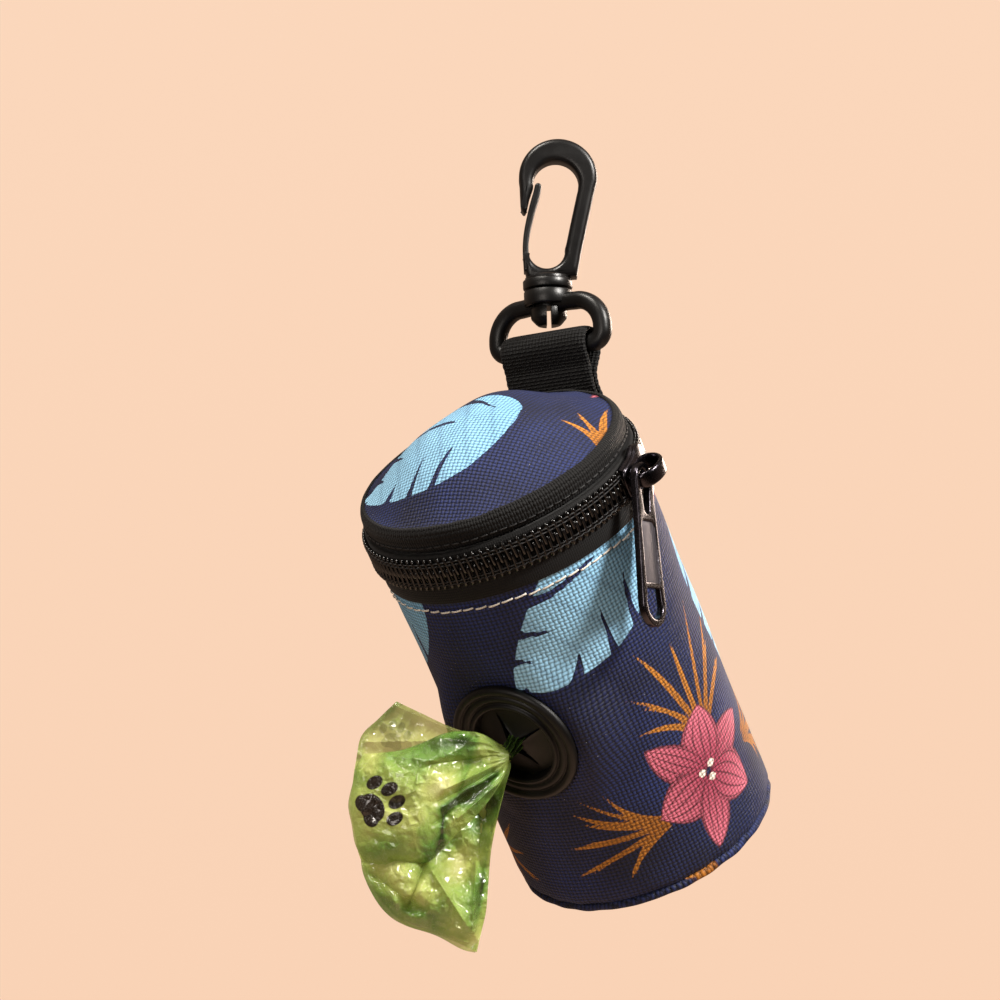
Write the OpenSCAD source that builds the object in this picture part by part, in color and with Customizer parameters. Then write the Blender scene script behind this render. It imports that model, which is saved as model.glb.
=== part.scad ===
// Waste bag dispenser: a zipped fabric pouch that holds a roll of bags, hung from a swivel snap hook.
// All sizes in millimetres. The origin is the inside top of the hook, where a ring carries it, and +Z is up.
// The pouch hangs tilted below its strap, so everything sewn is built upright in pouch coordinates,
// with z = 0 on the zip's centre line and the grommet facing -Y, and is then carried into place.

/* [Pouch] */
// Outside diameter of the sewn pouch wall
pouch_d = 50; // [47:1:54]
// Height from the zip's centre line down to the base
pouch_h = 73.3; // [71:0.5:80]
// Rise of the puffed lid above the zip's centre line
lid_rise = 16.6; // [14:0.1:20]
// Thickness of the foam between the printed cloth and the lining
foam_t = 1.35; // [1:0.05:1.6]
// Lean of the hanging pouch away from upright
hang_tilt = 36; // [30:1:40]
// Turn of the pouch about the vertical, seen from above
pouch_turn = -35; // [-60:1:0]

/* [Zip] */
// Half width of the closed chain of teeth
chain_half = 2.9; // [2.6:0.05:3.1]
// Distance from one tooth to the next
tooth_pitch = 1.35; // [1.2:0.05:2]
// How far round from the front each end of the zip lies
zip_reach = 146; // [140:1:148]
// How far round from the front the slider rests
slider_at = 95; // [60:1:110]
// Length of the pull
pull_len = 28.5; // [24:0.5:32]
// Thickness of the pull
pull_t = 1.4; // [1.1:0.05:1.5]

/* [Hook] */
// Inside width of the hook's bow
bow_inner_d = 8.5; // [8:0.1:9]
// Thickness of the hook across its flat side
hook_t = 4.6; // [4:0.1:5.4]
// Radius of the swivel stem
stem_r = 2.5; // [2.2:0.05:2.6]
// Radial running clearance of the stem in its eye
stem_gap = 0.1; // [0.05:0.05:0.1]

/* [Strap] */
// Width of the webbing
web_w = 19.5; // [16:0.5:19.5]
// Thickness of the webbing
web_t = 1.3; // [1:0.05:1.4]
// Distance from the eye's bar down to the top edge of the lid
strap_drop = 6.4; // [6.2:0.1:9]

/* [Bag] */
// Outside diameter of the roll of bags
roll_d = 32; // [26:1:34]
// Length of the roll
roll_len = 58; // [52:1:58]
// Outside diameter of the rubber dispensing ring
grommet_d = 24.2; // [22:0.1:26]
// Height of the dispensing ring's centre below the zip
grommet_drop = 35.8; // [32:0.1:38]

/* [Hidden] */
$fn = 48;

pouch_r = pouch_d / 2;
cloth_t = 0.6;
lining_t = 0.5;
layer_gap = 0.05;
foam_r = pouch_r - cloth_t - layer_gap;
lining_r = foam_r - foam_t - layer_gap;
inner_r = lining_r - lining_t;
wall_top = -5;
base_z = -pouch_h;
base_floor = base_z + 2.1;

// Zip, measured out from the pouch wall
tape_r = pouch_r + 0.05;
tape_t = 0.4;
tooth_r = tape_r + tape_t + 0.05;
tooth_h = 0.8;
row_gap = 0.45;
coil_out_r = tooth_r + tooth_h;
// Angle left free of teeth at each end of the zip, for its stop and a clearance
stop_w = 1.2;
stop_turn = (stop_w + 0.76 + 0.1) / tooth_r * 180 / PI;
plate_r = coil_out_r + 0.35;
plate_t = 0.85;
tape_drop = 6.3;
binding_z = 3.45;
dome_z = 7.6;
lid_r = pouch_r - 0.9;
// The puffed lid's profile, from its edge to its crown, as shares of its radius and of its rise
dome_shape = [[1, 0], [0.93, 0.067], [0.846, 0.178], [0.785, 0.272], [0.722, 0.378], [0.64, 0.505], [0.556, 0.633],
              [0.455, 0.75], [0.353, 0.856], [0.26, 0.917], [0.166, 0.967], [0.083, 0.992], [0, 1]];

// Pull and its curled bail
bail_h = 2.9;
bail_t = 0.9;
bail_w = 2.6;
bail_leg = 2.6;
pull_lift = plate_r + plate_t + 0.35;
pull_skew = 36;

// Hook, measured from the eye's bar: x away from the stem, z up
bow_in = [2.25, 31.05];
bow_out = [2.7, 32.3];
bow_out_r = 7.3;
seat = [bow_in[0], bow_in[1] + bow_inner_d / 2];
collar_z = 11.25;
eye_top = 11;
eye_low = 8.1;
eye_wire = 1.65;
eye_half = 11.6;
eye_arch = 8.3;
eye_shoulder = 5.6;
eye_heel = 2.2;

// Where the sewn strap meets the lid, in pouch coordinates, and the zip's fold line at the back
sew_r = pouch_r + 1.9;
sew_z = 8.2;
fold_y = pouch_r + 1.05;

// Grommet, measured out from the pouch wall
ring_face = pouch_r + 1.3;
ring_bore = 7.5;

// Strings the pouch to the bar: the bar lies straight above the strap's seam
module at_bar() { translate([-seat[0], 0, -seat[1]]) children(); }
module at_eye() { at_bar() rotate([0, 0, pouch_turn]) children(); }
module at_pouch() {
    at_eye() translate([0, 0, -strap_drop]) rotate([hang_tilt, 0, 0]) translate([0, -sew_r, -sew_z]) children();
}
module around(angle) { rotate([0, 0, angle]) children(); }

module ring(r0, r1, z0, z1, fn = 96) {
    translate([0, 0, z0]) difference() {
        cylinder(r = r1, h = z1 - z0, $fn = fn);
        translate([0, 0, -1]) cylinder(r = r0, h = z1 - z0 + 2, $fn = fn);
    }
}
// A stretch of a ring, from one angle to another measured round from the front
module arc_ring(r0, r1, z0, z1, a0, a1) {
    translate([0, 0, z0]) rotate([0, 0, a0 - 90])
        rotate_extrude(angle = a1 - a0, $fn = 96) translate([r0, 0]) square([r1 - r0, z1 - z0]);
}
// Points of a puffed dome's profile: upright from z0, then up the lid's shape to the crown
function dome(r, z0, h) = concat([[r, z0]], [for (p = dome_shape) [r * p[0], dome_z + h * p[1]]]);
function reversed(p) = [for (i = [len(p) - 1 : -1 : 0]) p[i]];
module dome_layer(r_out, r_in, h_out, h_in) {
    rotate_extrude($fn = 96)
        polygon(concat(dome(r_out, binding_z + 1.6, h_out), reversed(dome(r_in, binding_z + 1.6, h_in))));
}
// The hook's flat outline, drawn in x and z, given its thickness across Y
module flat_z(t) { rotate([90, 0, 0]) translate([0, 0, -t / 2]) linear_extrude(height = t) children(); }

// ---- Swivel snap hook: one acetal moulding, its springy gate tongue and the D-shaped eye it turns in ----
module hook_outline() {
    difference() {
        union() {
            difference() {
                translate(bow_out) circle(r = bow_out_r, $fn = 72);
                translate([-15, bow_in[1] - 15]) square([30, 15]);
            }
            polygon([[5, bow_in[1]], [9.88, bow_in[1] + 0.01], [9.45, 29.3], [5.5, 13.2], [2.4, 13.2], [2.6, 17.6]]);
            polygon([[-4.48, bow_in[1] + 0.01], [-1.95, bow_in[1] + 0.01], [-2.3, 30], [-3.35, 26.2],
                     [-3.6, 25.75], [-3.95, 25.65], [-4.25, 26], [-4.5, 28.8]]);
            polygon([[-4.4, 17.7], [-4.25, 15.7], [-3.8, 13.2], [5.5, 13.2], [6, 16.3], [6.35, 17.7]]);
        }
        translate(bow_in) circle(d = bow_inner_d, $fn = 72);
        polygon([[bow_in[0] - bow_inner_d / 2, bow_in[1] + 0.1], [bow_in[0] + bow_inner_d / 2, bow_in[1] + 0.1],
                 [5.95, 28.6], [3.45, 18.4], [-3.35, 18.4], [-3.2, 26], [-2.3, 30]]);
        translate([0.05, 18.4]) circle(r = 3.4, $fn = 72);
    }
}
module hook_body() color("dimgray") at_bar() {
    flat_z(hook_t) hook_outline();
    translate([0, 0, collar_z]) cylinder(r = 4.6, h = 1.85);
    translate([0, 0, collar_z + 1.85]) cylinder(r1 = 4.6, r2 = 4.2, h = 0.5);
    difference() {
        union() {
            translate([0, 0, eye_low - 0.4]) cylinder(r = stem_r, h = collar_z - eye_low + 0.5);
            translate([0, 0, 5.7]) cylinder(r = 3.35, h = eye_low - 0.3 - 5.7);
            translate([0, 0, 4.3]) cylinder(r1 = 2, r2 = 3.35, h = 1.4);
        }
        translate([-0.45, -6, 4]) cube([0.9, 12, 5.8]);
    }
}
module hook_gate() color("dimgray") at_bar() flat_z(hook_t - 0.6)
    polygon([[-4.4, 18.05], [-3.3, 18.05], [-3.25, 19.6], [-2.9, 21.8], [-2.3, 24.3], [-1.65, 26.4], [-0.85, 28.8],
             [-0.45, 30.2], [-0.5, 30.9], [-1, 31.3], [-1.5, 31.1], [-1.75, 30.3], [-2.15, 28.8], [-2.95, 26.3],
             [-3.5, 24.6], [-4, 22.2], [-4.35, 19.8]]);
module eye_corner(x, z, r, turn) {
    translate([x, 0, z]) rotate([90, 0, 0]) rotate([0, 0, turn])
        rotate_extrude(angle = 90, $fn = 48) translate([r, 0]) circle(r = eye_wire, $fn = 24);
}
module eye_half_side() {
    eye_corner(eye_half - eye_heel, eye_heel, eye_heel, -90);
    translate([eye_half, 0, eye_heel]) cylinder(r = eye_wire, h = eye_arch - eye_shoulder - eye_heel, $fn = 24);
    eye_corner(eye_half - eye_shoulder, eye_arch - eye_shoulder, eye_shoulder, 0);
    translate([2.4, 0, eye_arch]) rotate([0, 90, 0])
        cylinder(r = eye_wire, h = eye_half - eye_shoulder - 2.4, $fn = 24);
}
module swivel_eye() color("dimgray") at_eye() difference() {
    union() {
        translate([0, 0, eye_low]) cylinder(r = 4.5, h = eye_top - eye_low);
        translate([eye_heel - eye_half, 0, 0]) rotate([0, 90, 0])
            cylinder(r = eye_wire, h = 2 * (eye_half - eye_heel), $fn = 24);
        eye_half_side();
        mirror([1, 0, 0]) eye_half_side();
    }
    translate([0, 0, eye_low - 1]) cylinder(r = stem_r + stem_gap, h = eye_top - eye_low + 2);
    translate([0, 0, 4]) cylinder(r = 3.65, h = eye_low - 4);
}

// ---- Webbing strap: two plies round the bar, sewn to the back of the lid ----
module strap_loop() color("black") at_eye() {
    r0 = eye_wire + 0.25;
    r1 = r0 + web_t;
    rotate([0, 90, 0]) difference() {
        translate([0, 0, -web_w / 2]) cylinder(r = r1, h = web_w);
        translate([0, 0, -web_w / 2 - 1]) cylinder(r = r0, h = web_w + 2);
        translate([0.01, -5, -web_w / 2 - 1]) cube([6, 10, web_w + 2]);
    }
    for (side = [-1, 1])
        rotate([90, 0, 90]) translate([0, 0, -web_w / 2]) linear_extrude(height = web_w)
            polygon([[side * r0, 0], [side * r1, 0], [side * (web_t + 0.05), -strap_drop + 1.2],
                     [side * (web_t + 0.05), -strap_drop], [side * 0.03, -strap_drop], [side * 0.03, -strap_drop + 0.9]]);
}
module strap_tail() color("black") at_pouch() difference() {
    intersection() {
        ring(pouch_r + 0.1, pouch_r + 0.35 + 2 * web_t, binding_z + 0.05, sew_z);
        translate([-web_w / 2, 0, 0]) cube([web_w, pouch_r + 10, 20]);
    }
    translate([0, sew_r, sew_z]) rotate([0, 90, 0]) cylinder(r = 1.9, h = web_w + 2, center = true);
}
module strap_stitches() color("black") at_pouch()
    for (row = [0, 1]) for (i = [-6 : 6])
        around(180 + i * 2.9) translate([-0.6, -pouch_r - 0.4 - 2 * web_t - 0.25, 4.2 + row * 1.1]) cube([1.2, 0.3, 0.3]);

// ---- Lid: printed cloth over foam, lined, its edge bound, with half the zip ----
module lid_shell() color("midnightblue") at_pouch()
    dome_layer(lid_r, lid_r - cloth_t, lid_rise - dome_z, lid_rise - dome_z - cloth_t);
module lid_foam() color("gainsboro") at_pouch()
    dome_layer(lid_r - cloth_t - layer_gap, lid_r - cloth_t - layer_gap - foam_t,
               lid_rise - dome_z - cloth_t - layer_gap, lid_rise - dome_z - cloth_t - layer_gap - foam_t);
module lid_lining() color("slategray") at_pouch()
    dome_layer(lid_r - cloth_t - 2 * layer_gap - foam_t, lid_r - cloth_t - 2 * layer_gap - foam_t - lining_t,
               lid_rise - dome_z - cloth_t - 2 * layer_gap - foam_t,
               lid_rise - dome_z - cloth_t - 2 * layer_gap - foam_t - lining_t);
module lid_binding() color("black") at_pouch() {
    a = lid_r + layer_gap;
    b = lid_r - cloth_t - 2 * layer_gap - foam_t - lining_t - layer_gap;
    rotate_extrude($fn = 96)
        polygon([[a, dome_z + 0.05], [a - 0.6, dome_z + 0.27], [a - 0.55, dome_z + 0.6], [a + 0.1, dome_z + 0.4],
                 [a + 0.55, dome_z - 0.2], [a + 0.85, 6.2], [a + 0.78, 4.8], [a + 0.55, 4], [a + 0.1, binding_z],
                 [b - 0.2, binding_z], [b - 0.5, 3.8], [b - 0.55, 5], [b - 0.5, 6.9], [b - 0.25, 7.35], [b, 7.35],
                 [b, binding_z + 1.55], [a, binding_z + 1.55]]);
}
module binding_stitches() color("black") at_pouch()
    for (i = [-36 : 36])
        around(i * 4) translate([-0.7, -lid_r - 1.22, 5.2]) cube([1.4, 0.3, 0.3]);
module upper_tape() color("black") at_pouch() {
    arc_ring(tape_r, tape_r + tape_t, row_gap + 0.05, binding_z - 0.05, -zip_reach, zip_reach);
    arc_ring(pouch_r - 1.5, tape_r + 0.01, binding_z - 0.4, binding_z - 0.05, -zip_reach, zip_reach);
}
// One row of coil teeth: a short bar every pitch, lying across the chain
module tooth_row(z0, z1) {
    step = tooth_pitch / (tooth_r + tooth_h / 2) * 180 / PI;
    count = floor((zip_reach - stop_turn) / step);
    for (i = [-count : count])
        around(i * step) translate([-0.38, -tooth_r - tooth_h, z0]) cube([0.76, tooth_h, z1 - z0]);
}
module upper_coil() color("black") at_pouch() tooth_row(row_gap, chain_half);
module hinge_leaf_upper() color("black") at_pouch()
    arc_ring(pouch_r + 0.5, pouch_r + 1, 0.25, binding_z - 0.05, zip_reach + 1, 359 - zip_reach);
module hinge_leaf_lower() color("black") at_pouch()
    arc_ring(pouch_r + 0.5, pouch_r + 1, -tape_drop, -0.25, zip_reach + 1, 359 - zip_reach);
module zip_stops() color("gray") at_pouch()
    for (side = [-1, 1])
        around(side * zip_reach) translate([side > 0 ? -stop_w : 0, -coil_out_r - 0.1, row_gap + 0.1])
            cube([stop_w, coil_out_r - tooth_r + 0.1, chain_half - row_gap - 0.2]);

// ---- Slider: two plates joined by a thin post, with a curled bail that carries the pull ----
module at_slider() { at_pouch() around(slider_at) children(); }
module slider_body() color("gray") at_slider() {
    intersection() {
        ring(plate_r, plate_r + plate_t, -chain_half - 1.2, chain_half + 1.2);
        translate([-5, -pouch_r - 10, -5]) cube([10, 10, 10]);
    }
    intersection() {
        ring(pouch_r - 1.05, pouch_r - 0.35, -3.3, 3.0);
        translate([-4.6, -pouch_r - 10, -5]) cube([9.2, 12, 10]);
    }
    intersection() {
        ring(coil_out_r - 0.5, plate_r + 0.1, chain_half + 0.35, chain_half + 1.2);
        translate([-4.4, -pouch_r - 10, -5]) cube([8.8, 10, 12]);
    }
    intersection() {
        ring(pouch_r - 0.5, plate_r + 0.1, -0.2, 0.2);
        translate([2.4, -pouch_r - 10, -5]) cube([2.4, 12, 10]);
    }
}
module slider_bail() color("gray") at_slider() translate([0, -plate_r - plate_t, 0]) {
    r1 = bail_leg + bail_t / 2;
    r0 = bail_leg - bail_t / 2;
    rise = bail_h - r0;
    translate([0, -rise, 0]) intersection() {
        ring(r0, r1, -bail_w / 2, bail_w / 2, 48);
        translate([-5, -10, -5]) cube([10, 10, 10]);
    }
    for (side = [-1, 1])
        translate([side * bail_leg - bail_t / 2, -rise - 0.01, -bail_w / 2]) cube([bail_t, rise + 0.02, bail_w]);
}
// Points round an arc of an outline
function arc(c, r, a0, a1, n = 12) = [for (i = [0 : n]) c + r * [cos(a0 + (a1 - a0) * i / n), sin(a0 + (a1 - a0) * i / n)]];
module pull_plate() {
    tip_r = 4.1;
    long = pull_len - 2.95 - tip_r;
    difference() {
        polygon(concat(arc([0, 0], 2.95, 0, 180), [[-3.15, -8]], arc([0, -long], tip_r, 180, 360), [[3.15, -8]]));
        polygon(concat(arc([0, 0], 1.65, -20, 200), arc([0, -5.3], 0.85, 200, 340, 8)));
        polygon(concat([[2.55, 2.6 - long], [-2.55, 2.6 - long]], arc([0, -long], 2.8, 180, 360)));
    }
}
module zip_pull() color("gray") at_slider()
    translate([-bail_leg, -pull_lift - pull_t, 0]) rotate([90, 0, 0]) mirror([0, 0, 1])
        rotate([0, 0, -pull_skew]) difference() {
            linear_extrude(height = pull_t) pull_plate();
            translate([-1.75, -pull_len + 11.2, -0.01]) cube([3.5, pull_len - 19.2, 0.3]);
        }

// ---- Pouch: printed cloth, foam and lining with the dispensing hole, its zip half and its base ----
module wall(r0, r1, z0, z1, hole) {
    difference() {
        ring(r0, r1, z0, z1);
        translate([0, 0, -grommet_drop]) rotate([90, 0, 0]) cylinder(r = hole, h = pouch_r + 10);
    }
}
module pouch_shell() color("midnightblue") at_pouch() wall(pouch_r - cloth_t, pouch_r, base_z + 0.75, wall_top, 9.4);
module pouch_foam() color("gainsboro") at_pouch() wall(foam_r - foam_t, foam_r, base_z + 0.75, wall_top, 9.4);
module pouch_lining() color("slategray") at_pouch() wall(inner_r, lining_r, base_z + 0.75, wall_top, 9.4);
module lower_tape() color("black") at_pouch()
    arc_ring(tape_r, tape_r + tape_t, -tape_drop, -row_gap - 0.05, -zip_reach, zip_reach);
module lower_coil() color("black") at_pouch() tooth_row(-chain_half, -row_gap);
module top_stitching() color("wheat") at_pouch()
    for (i = [-26 : 26])
        around(i * 5.6) translate([-0.95, -pouch_r - 0.33, -tape_drop - 1.75]) cube([1.9, 0.3, 0.4]);
module back_seam_tape() color("black") at_pouch()
    arc_ring(inner_r - 0.55, inner_r - 0.05, base_floor + 4.5, wall_top - 1, 171, 189);
module base_disc() color("midnightblue") at_pouch() translate([0, 0, base_z]) {
    translate([0, 0, 0.35]) cylinder(r = pouch_r - 0.35, h = 0.35, $fn = 96);
    cylinder(r1 = pouch_r - 0.9, r2 = pouch_r - 0.35, h = 0.35, $fn = 96);
}
module base_stiffener() color("gray") at_pouch() translate([0, 0, base_z + 0.75]) cylinder(r = inner_r - 0.1, h = 0.9, $fn = 96);
module base_lining() color("slategray") at_pouch() translate([0, 0, base_z + 1.7]) cylinder(r = inner_r - 0.1, h = 0.35, $fn = 96);
module base_seam_tape() color("black") at_pouch() ring(inner_r - 0.55, inner_r - 0.05, base_floor + 0.05, base_floor + 4.4);

// ---- Dispensing ring: outer moulding and back ring snapped through the wall, with a slit rubber membrane ----
module at_grommet() { at_pouch() translate([0, 0, -grommet_drop]) rotate([90, 0, 0]) children(); }
module grommet_flange() color("dimgray") at_grommet() {
    difference() {
        union() {
            difference() {
                union() {
                    translate([0, 0, pouch_r - 5]) cylinder(r = grommet_d / 2, h = 5.7, $fn = 72);
                    translate([0, 0, pouch_r + 0.7]) cylinder(r1 = grommet_d / 2, r2 = grommet_d / 2 - 0.6, h = 0.6, $fn = 72);
                }
                rotate([-90, 0, 0]) cylinder(r = pouch_r + 0.05, h = 40, center = true, $fn = 96);
            }
            translate([0, 0, inner_r - 1.5]) cylinder(r = 9.2, h = ring_face - inner_r + 1.5, $fn = 72);
        }
        translate([0, 0, inner_r - 2]) cylinder(r = ring_bore, h = 10, $fn = 72);
        translate([0, 0, ring_face - 0.45]) difference() {
            cylinder(r = 10.5, h = 1, $fn = 72);
            translate([0, 0, -1]) cylinder(r = 10.1, h = 3, $fn = 72);
        }
        translate([0, 0, ring_face - 0.3]) difference() {
            cylinder(r = 9, h = 1, $fn = 72);
            translate([0, 0, -1]) cylinder(r = 8.5, h = 3, $fn = 72);
        }
    }
}
module grommet_back_ring() color("dimgray") at_grommet() intersection() {
    translate([0, 0, 10]) difference() {
        cylinder(r = 11.8, h = inner_r, $fn = 72);
        translate([0, 0, -1]) cylinder(r = 9.25, h = inner_r + 2, $fn = 72);
    }
    rotate([-90, 0, 0]) difference() {
        cylinder(r = inner_r - 0.05, h = 40, center = true, $fn = 96);
        cylinder(r = inner_r - 1.4, h = 42, center = true, $fn = 96);
    }
}
module slit_membrane() color("dimgray") at_grommet() difference() {
    translate([0, 0, pouch_r - 1.6]) cylinder(r = ring_bore - 0.02, h = 1, $fn = 72);
    cylinder(r = 2.3, h = pouch_r + 5, $fn = 36);
    for (turn = [20, 110])
        rotate([0, 0, turn]) translate([-5.6, -0.25, 0]) cube([11.2, 0.5, pouch_r + 5]);
}

// ---- Roll of bags, and the first bag drawn through the slits ----
module roll_core() color("tan") at_pouch() translate([0, 0, base_floor + 0.3]) difference() {
    cylinder(r = 7.4, h = roll_len);
    translate([0, 0, -1]) cylinder(r = 6.6, h = roll_len + 2);
}
module bag_roll() color("yellowgreen") at_pouch() translate([0, 0, base_floor + 0.3]) difference() {
    cylinder(d = roll_d, h = roll_len, $fn = 96);
    translate([0, 0, -1]) cylinder(r = 7.45, h = roll_len + 2);
}
module bag_neck() color("yellowgreen") at_grommet() {
    translate([0, 0, roll_d / 2 + 0.3]) cylinder(r1 = 5.5, r2 = 1.9, h = pouch_r - 2.5 - roll_d / 2, $fn = 36);
    translate([0, 0, pouch_r - 2.3]) cylinder(r = 1.9, h = 4.2, $fn = 36);
}
// The drawn bag fans out of its neck as a round pillow, a lower lobe and a flat upper corner. It is shaped in x
// and z as seen from the front, from the end of its neck: its outline from the upper corner round to the tip.
tail_outline = [[-19.3, 9.8], [-22.4, 7], [-25.6, 4.1], [-26.8, -1], [-27.9, -8.5], [-26.9, -16], [-24.8, -22.5],
                [-21.5, -27.2], [-17.2, -30], [-13.1, -31.3], [-9.6, -33], [-6.9, -34.2]];
tail_steps = [0.16, 0.35, 0.55, 0.75, 0.93, 1];
tail_n = len(tail_outline);
tail_k = len(tail_steps) + 1;
tail_axis = [sin(pouch_turn) * cos(hang_tilt), -cos(pouch_turn) * cos(hang_tilt), -sin(hang_tilt)];
tail_side = [-0.62, 0, 0.78];
tail_across = tail_side - (tail_side * tail_axis) * tail_axis;
tail_up = tail_across / norm(tail_across);
tail_fore = cross(tail_up, tail_axis);
function mound(p, c, r) = exp(-pow((p[0] - c[0]) / r[0], 2) - pow((p[1] - c[1]) / r[1], 2));
function flap(p) = 2 * min(1, max(0, (p[1] - 1) / 3));
function tail_front(p, s) = flap(p) - (s == 1 ? 0.9 - 1.2 * mound(p, [-6.9, -34.2], [6, 4])
    : 1.1 + 5.2 * mound(p, [-14.2, -7.6], [10, 7.5]) + 3.4 * mound(p, [-19.5, -21.9], [6.6, 5.4])
      + 1.9 * mound(p, [-10.4, -27.5], [5.7, 4.3]) - 1.2 * mound(p, [-6.2, -10.5], [4, 6.5]));
function tail_back(p, s) = s == 1 ? 2 - 0.7 * mound(p, [-6.9, -34.2], [6, 4]) : 1.2 + 1.3 * min(1, norm(p) / 12);
function neck_point(j, side) = -1.27 * tail_axis + 1.5 * cos(15 + 150 * j / (tail_n - 1)) * tail_up
                             + side * 1.5 * sin(15 + 150 * j / (tail_n - 1)) * tail_fore;
function tail_layer(side) = concat([for (j = [0 : tail_n - 1]) neck_point(j, side)],
    [for (s = tail_steps) for (q = tail_outline) let (p = s * q) [p[0], side > 0 ? tail_front(p, s) : tail_back(p, s), p[1]]]);
function split(q) = [[q[0], q[1], q[2]], [q[0], q[2], q[3]]];
module tail_film() {
    n = tail_n;
    b = tail_n * tail_k;
    k = tail_k - 1;
    e = tail_n - 1;
    quads = concat(
        [for (i = [0 : k - 1]) for (j = [0 : e - 1]) [i * n + j, i * n + j + 1, (i + 1) * n + j + 1, (i + 1) * n + j]],
        [for (i = [0 : k - 1]) for (j = [0 : e - 1])
            [b + i * n + j, b + (i + 1) * n + j, b + (i + 1) * n + j + 1, b + i * n + j + 1]],
        [for (i = [0 : k - 1]) [i * n, (i + 1) * n, b + (i + 1) * n, b + i * n]],
        [for (i = [0 : k - 1]) [(i + 1) * n + e, i * n + e, b + i * n + e, b + (i + 1) * n + e]],
        [for (j = [0 : e - 1]) [j + 1, j, b + j, b + j + 1]],
        [for (j = [0 : e - 1]) [k * n + j, k * n + j + 1, b + k * n + j + 1, b + k * n + j]]);
    polyhedron(points = concat(tail_layer(1), tail_layer(-1)), faces = [for (q = quads) for (t = split(q)) t]);
}
function tail_top() = [0, -(ring_face + 1.9) * cos(hang_tilt) + (grommet_drop) * sin(hang_tilt),
                       -(ring_face + 1.9) * sin(hang_tilt) - grommet_drop * cos(hang_tilt)];
module bag_tail() color("yellowgreen") at_eye() translate([0, 0, -strap_drop])
    translate([0, -sew_r * cos(hang_tilt) + sew_z * sin(hang_tilt), -sew_r * sin(hang_tilt) - sew_z * cos(hang_tilt)])
        translate(tail_top()) rotate([0, 0, -pouch_turn]) tail_film();

hook_body();
hook_gate();
swivel_eye();
strap_loop();
strap_tail();
strap_stitches();
lid_shell();
lid_foam();
lid_lining();
lid_binding();
binding_stitches();
upper_tape();
upper_coil();
hinge_leaf_upper();
hinge_leaf_lower();
zip_stops();
slider_body();
slider_bail();
zip_pull();
pouch_shell();
pouch_foam();
pouch_lining();
lower_tape();
lower_coil();
top_stitching();
back_seam_tape();
base_disc();
base_stiffener();
base_lining();
base_seam_tape();
grommet_flange();
grommet_back_ring();
slit_membrane();
roll_core();
bag_roll();
bag_neck();
bag_tail();
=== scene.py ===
import math

import bmesh
import bpy
import numpy as np
from mathutils import Matrix, Vector, geometry


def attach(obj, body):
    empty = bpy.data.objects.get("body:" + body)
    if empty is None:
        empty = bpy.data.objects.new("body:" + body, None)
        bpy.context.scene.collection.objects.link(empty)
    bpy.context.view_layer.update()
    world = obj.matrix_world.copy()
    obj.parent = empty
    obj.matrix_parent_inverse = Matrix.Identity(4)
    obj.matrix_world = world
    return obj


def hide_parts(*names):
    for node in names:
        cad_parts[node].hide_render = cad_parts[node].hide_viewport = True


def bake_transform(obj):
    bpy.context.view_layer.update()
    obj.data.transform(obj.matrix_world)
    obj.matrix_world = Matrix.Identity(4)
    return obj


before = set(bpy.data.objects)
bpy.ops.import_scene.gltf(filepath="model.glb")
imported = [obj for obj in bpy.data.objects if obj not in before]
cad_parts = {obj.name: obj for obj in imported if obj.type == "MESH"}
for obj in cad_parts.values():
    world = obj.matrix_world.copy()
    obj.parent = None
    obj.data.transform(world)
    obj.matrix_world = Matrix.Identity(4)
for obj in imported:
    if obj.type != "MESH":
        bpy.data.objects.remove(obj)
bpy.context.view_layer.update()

# ---- Sizes in millimetres, as in the part's source. The pouch is upright in its own coordinates ----
MM = 0.001
POUCH_R = 25.0
BASE_Z = -73.3
WALL_TOP = -5.0
LID_R = 24.1
DOME_Z = 7.6
LID_RISE = 16.6
TOOTH_PITCH = 1.35
COIL_R = 25.9
TOP_SEAM_Z = -8.0
PULL_FACE = 28.55
PULL_LEN = 28.5
RING_DROP = 35.8
RING_R = 12.1
ROLL_R = 16.0
CORE_R = 7.55
ROLL_LEN = 57.9
STRAP_DROP = 6.4
STRAP_HALF = 9.25

# ---- Angles in degrees. Those round the pouch are measured from its front ----
CIRCLE = 360.0
ZIP_REACH = 146.0
SLIDER_AT = 95.0
POUCH_TURN = -35
HANG_TILT = 36
PULL_SKEW = 36

# ---- Frames: the coordinates in which each body is drawn, in the photograph's pose ----
UPRIGHT = Matrix.Rotation(math.radians(90), 4, "X")
LID_UNDER_SEAM = Matrix.Translation((0, -26.9, -8.2))
BAR = Matrix.Translation((-2.25, 0, -35.3))
EYE = BAR @ Matrix.Rotation(math.radians(POUCH_TURN), 4, "Z")
SEW = Matrix.Translation((0, 0, -STRAP_DROP)) @ Matrix.Rotation(math.radians(HANG_TILT), 4, "X")
POUCH = EYE @ SEW @ LID_UNDER_SEAM
SLIDER = POUCH @ Matrix.Rotation(math.radians(SLIDER_AT), 4, "Z")
RING = POUCH @ Matrix.Translation((0, 0, -RING_DROP)) @ UPRIGHT
PULL = (SLIDER @ Matrix.Translation((-2.6, -PULL_FACE, 0)) @ UPRIGHT
        @ Matrix.Rotation(math.radians(-PULL_SKEW), 4, "Z"))
WORLD = Matrix.Identity(4)

random = np.random.default_rng(7)


# ---- Making meshes ----
def in_metres(points, where):
    """Points in millimetres of one of the frames above, as metres of the scene."""
    m = np.array(where)
    points = np.asarray(points, float).reshape(-1, 3)
    return (points @ m[:3, :3].T + m[:3, 3]) * MM


def vectors(*parts):
    """Numbers side by side as vectors, each spread to the shape of them all."""
    return np.stack(np.broadcast_arrays(*parts), -1)


def around(r, angle, z):
    """Points round the pouch's axis: a radius, an angle in radians from the front, and a height."""
    return vectors(r * np.sin(angle), -r * np.cos(angle), z)


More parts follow.
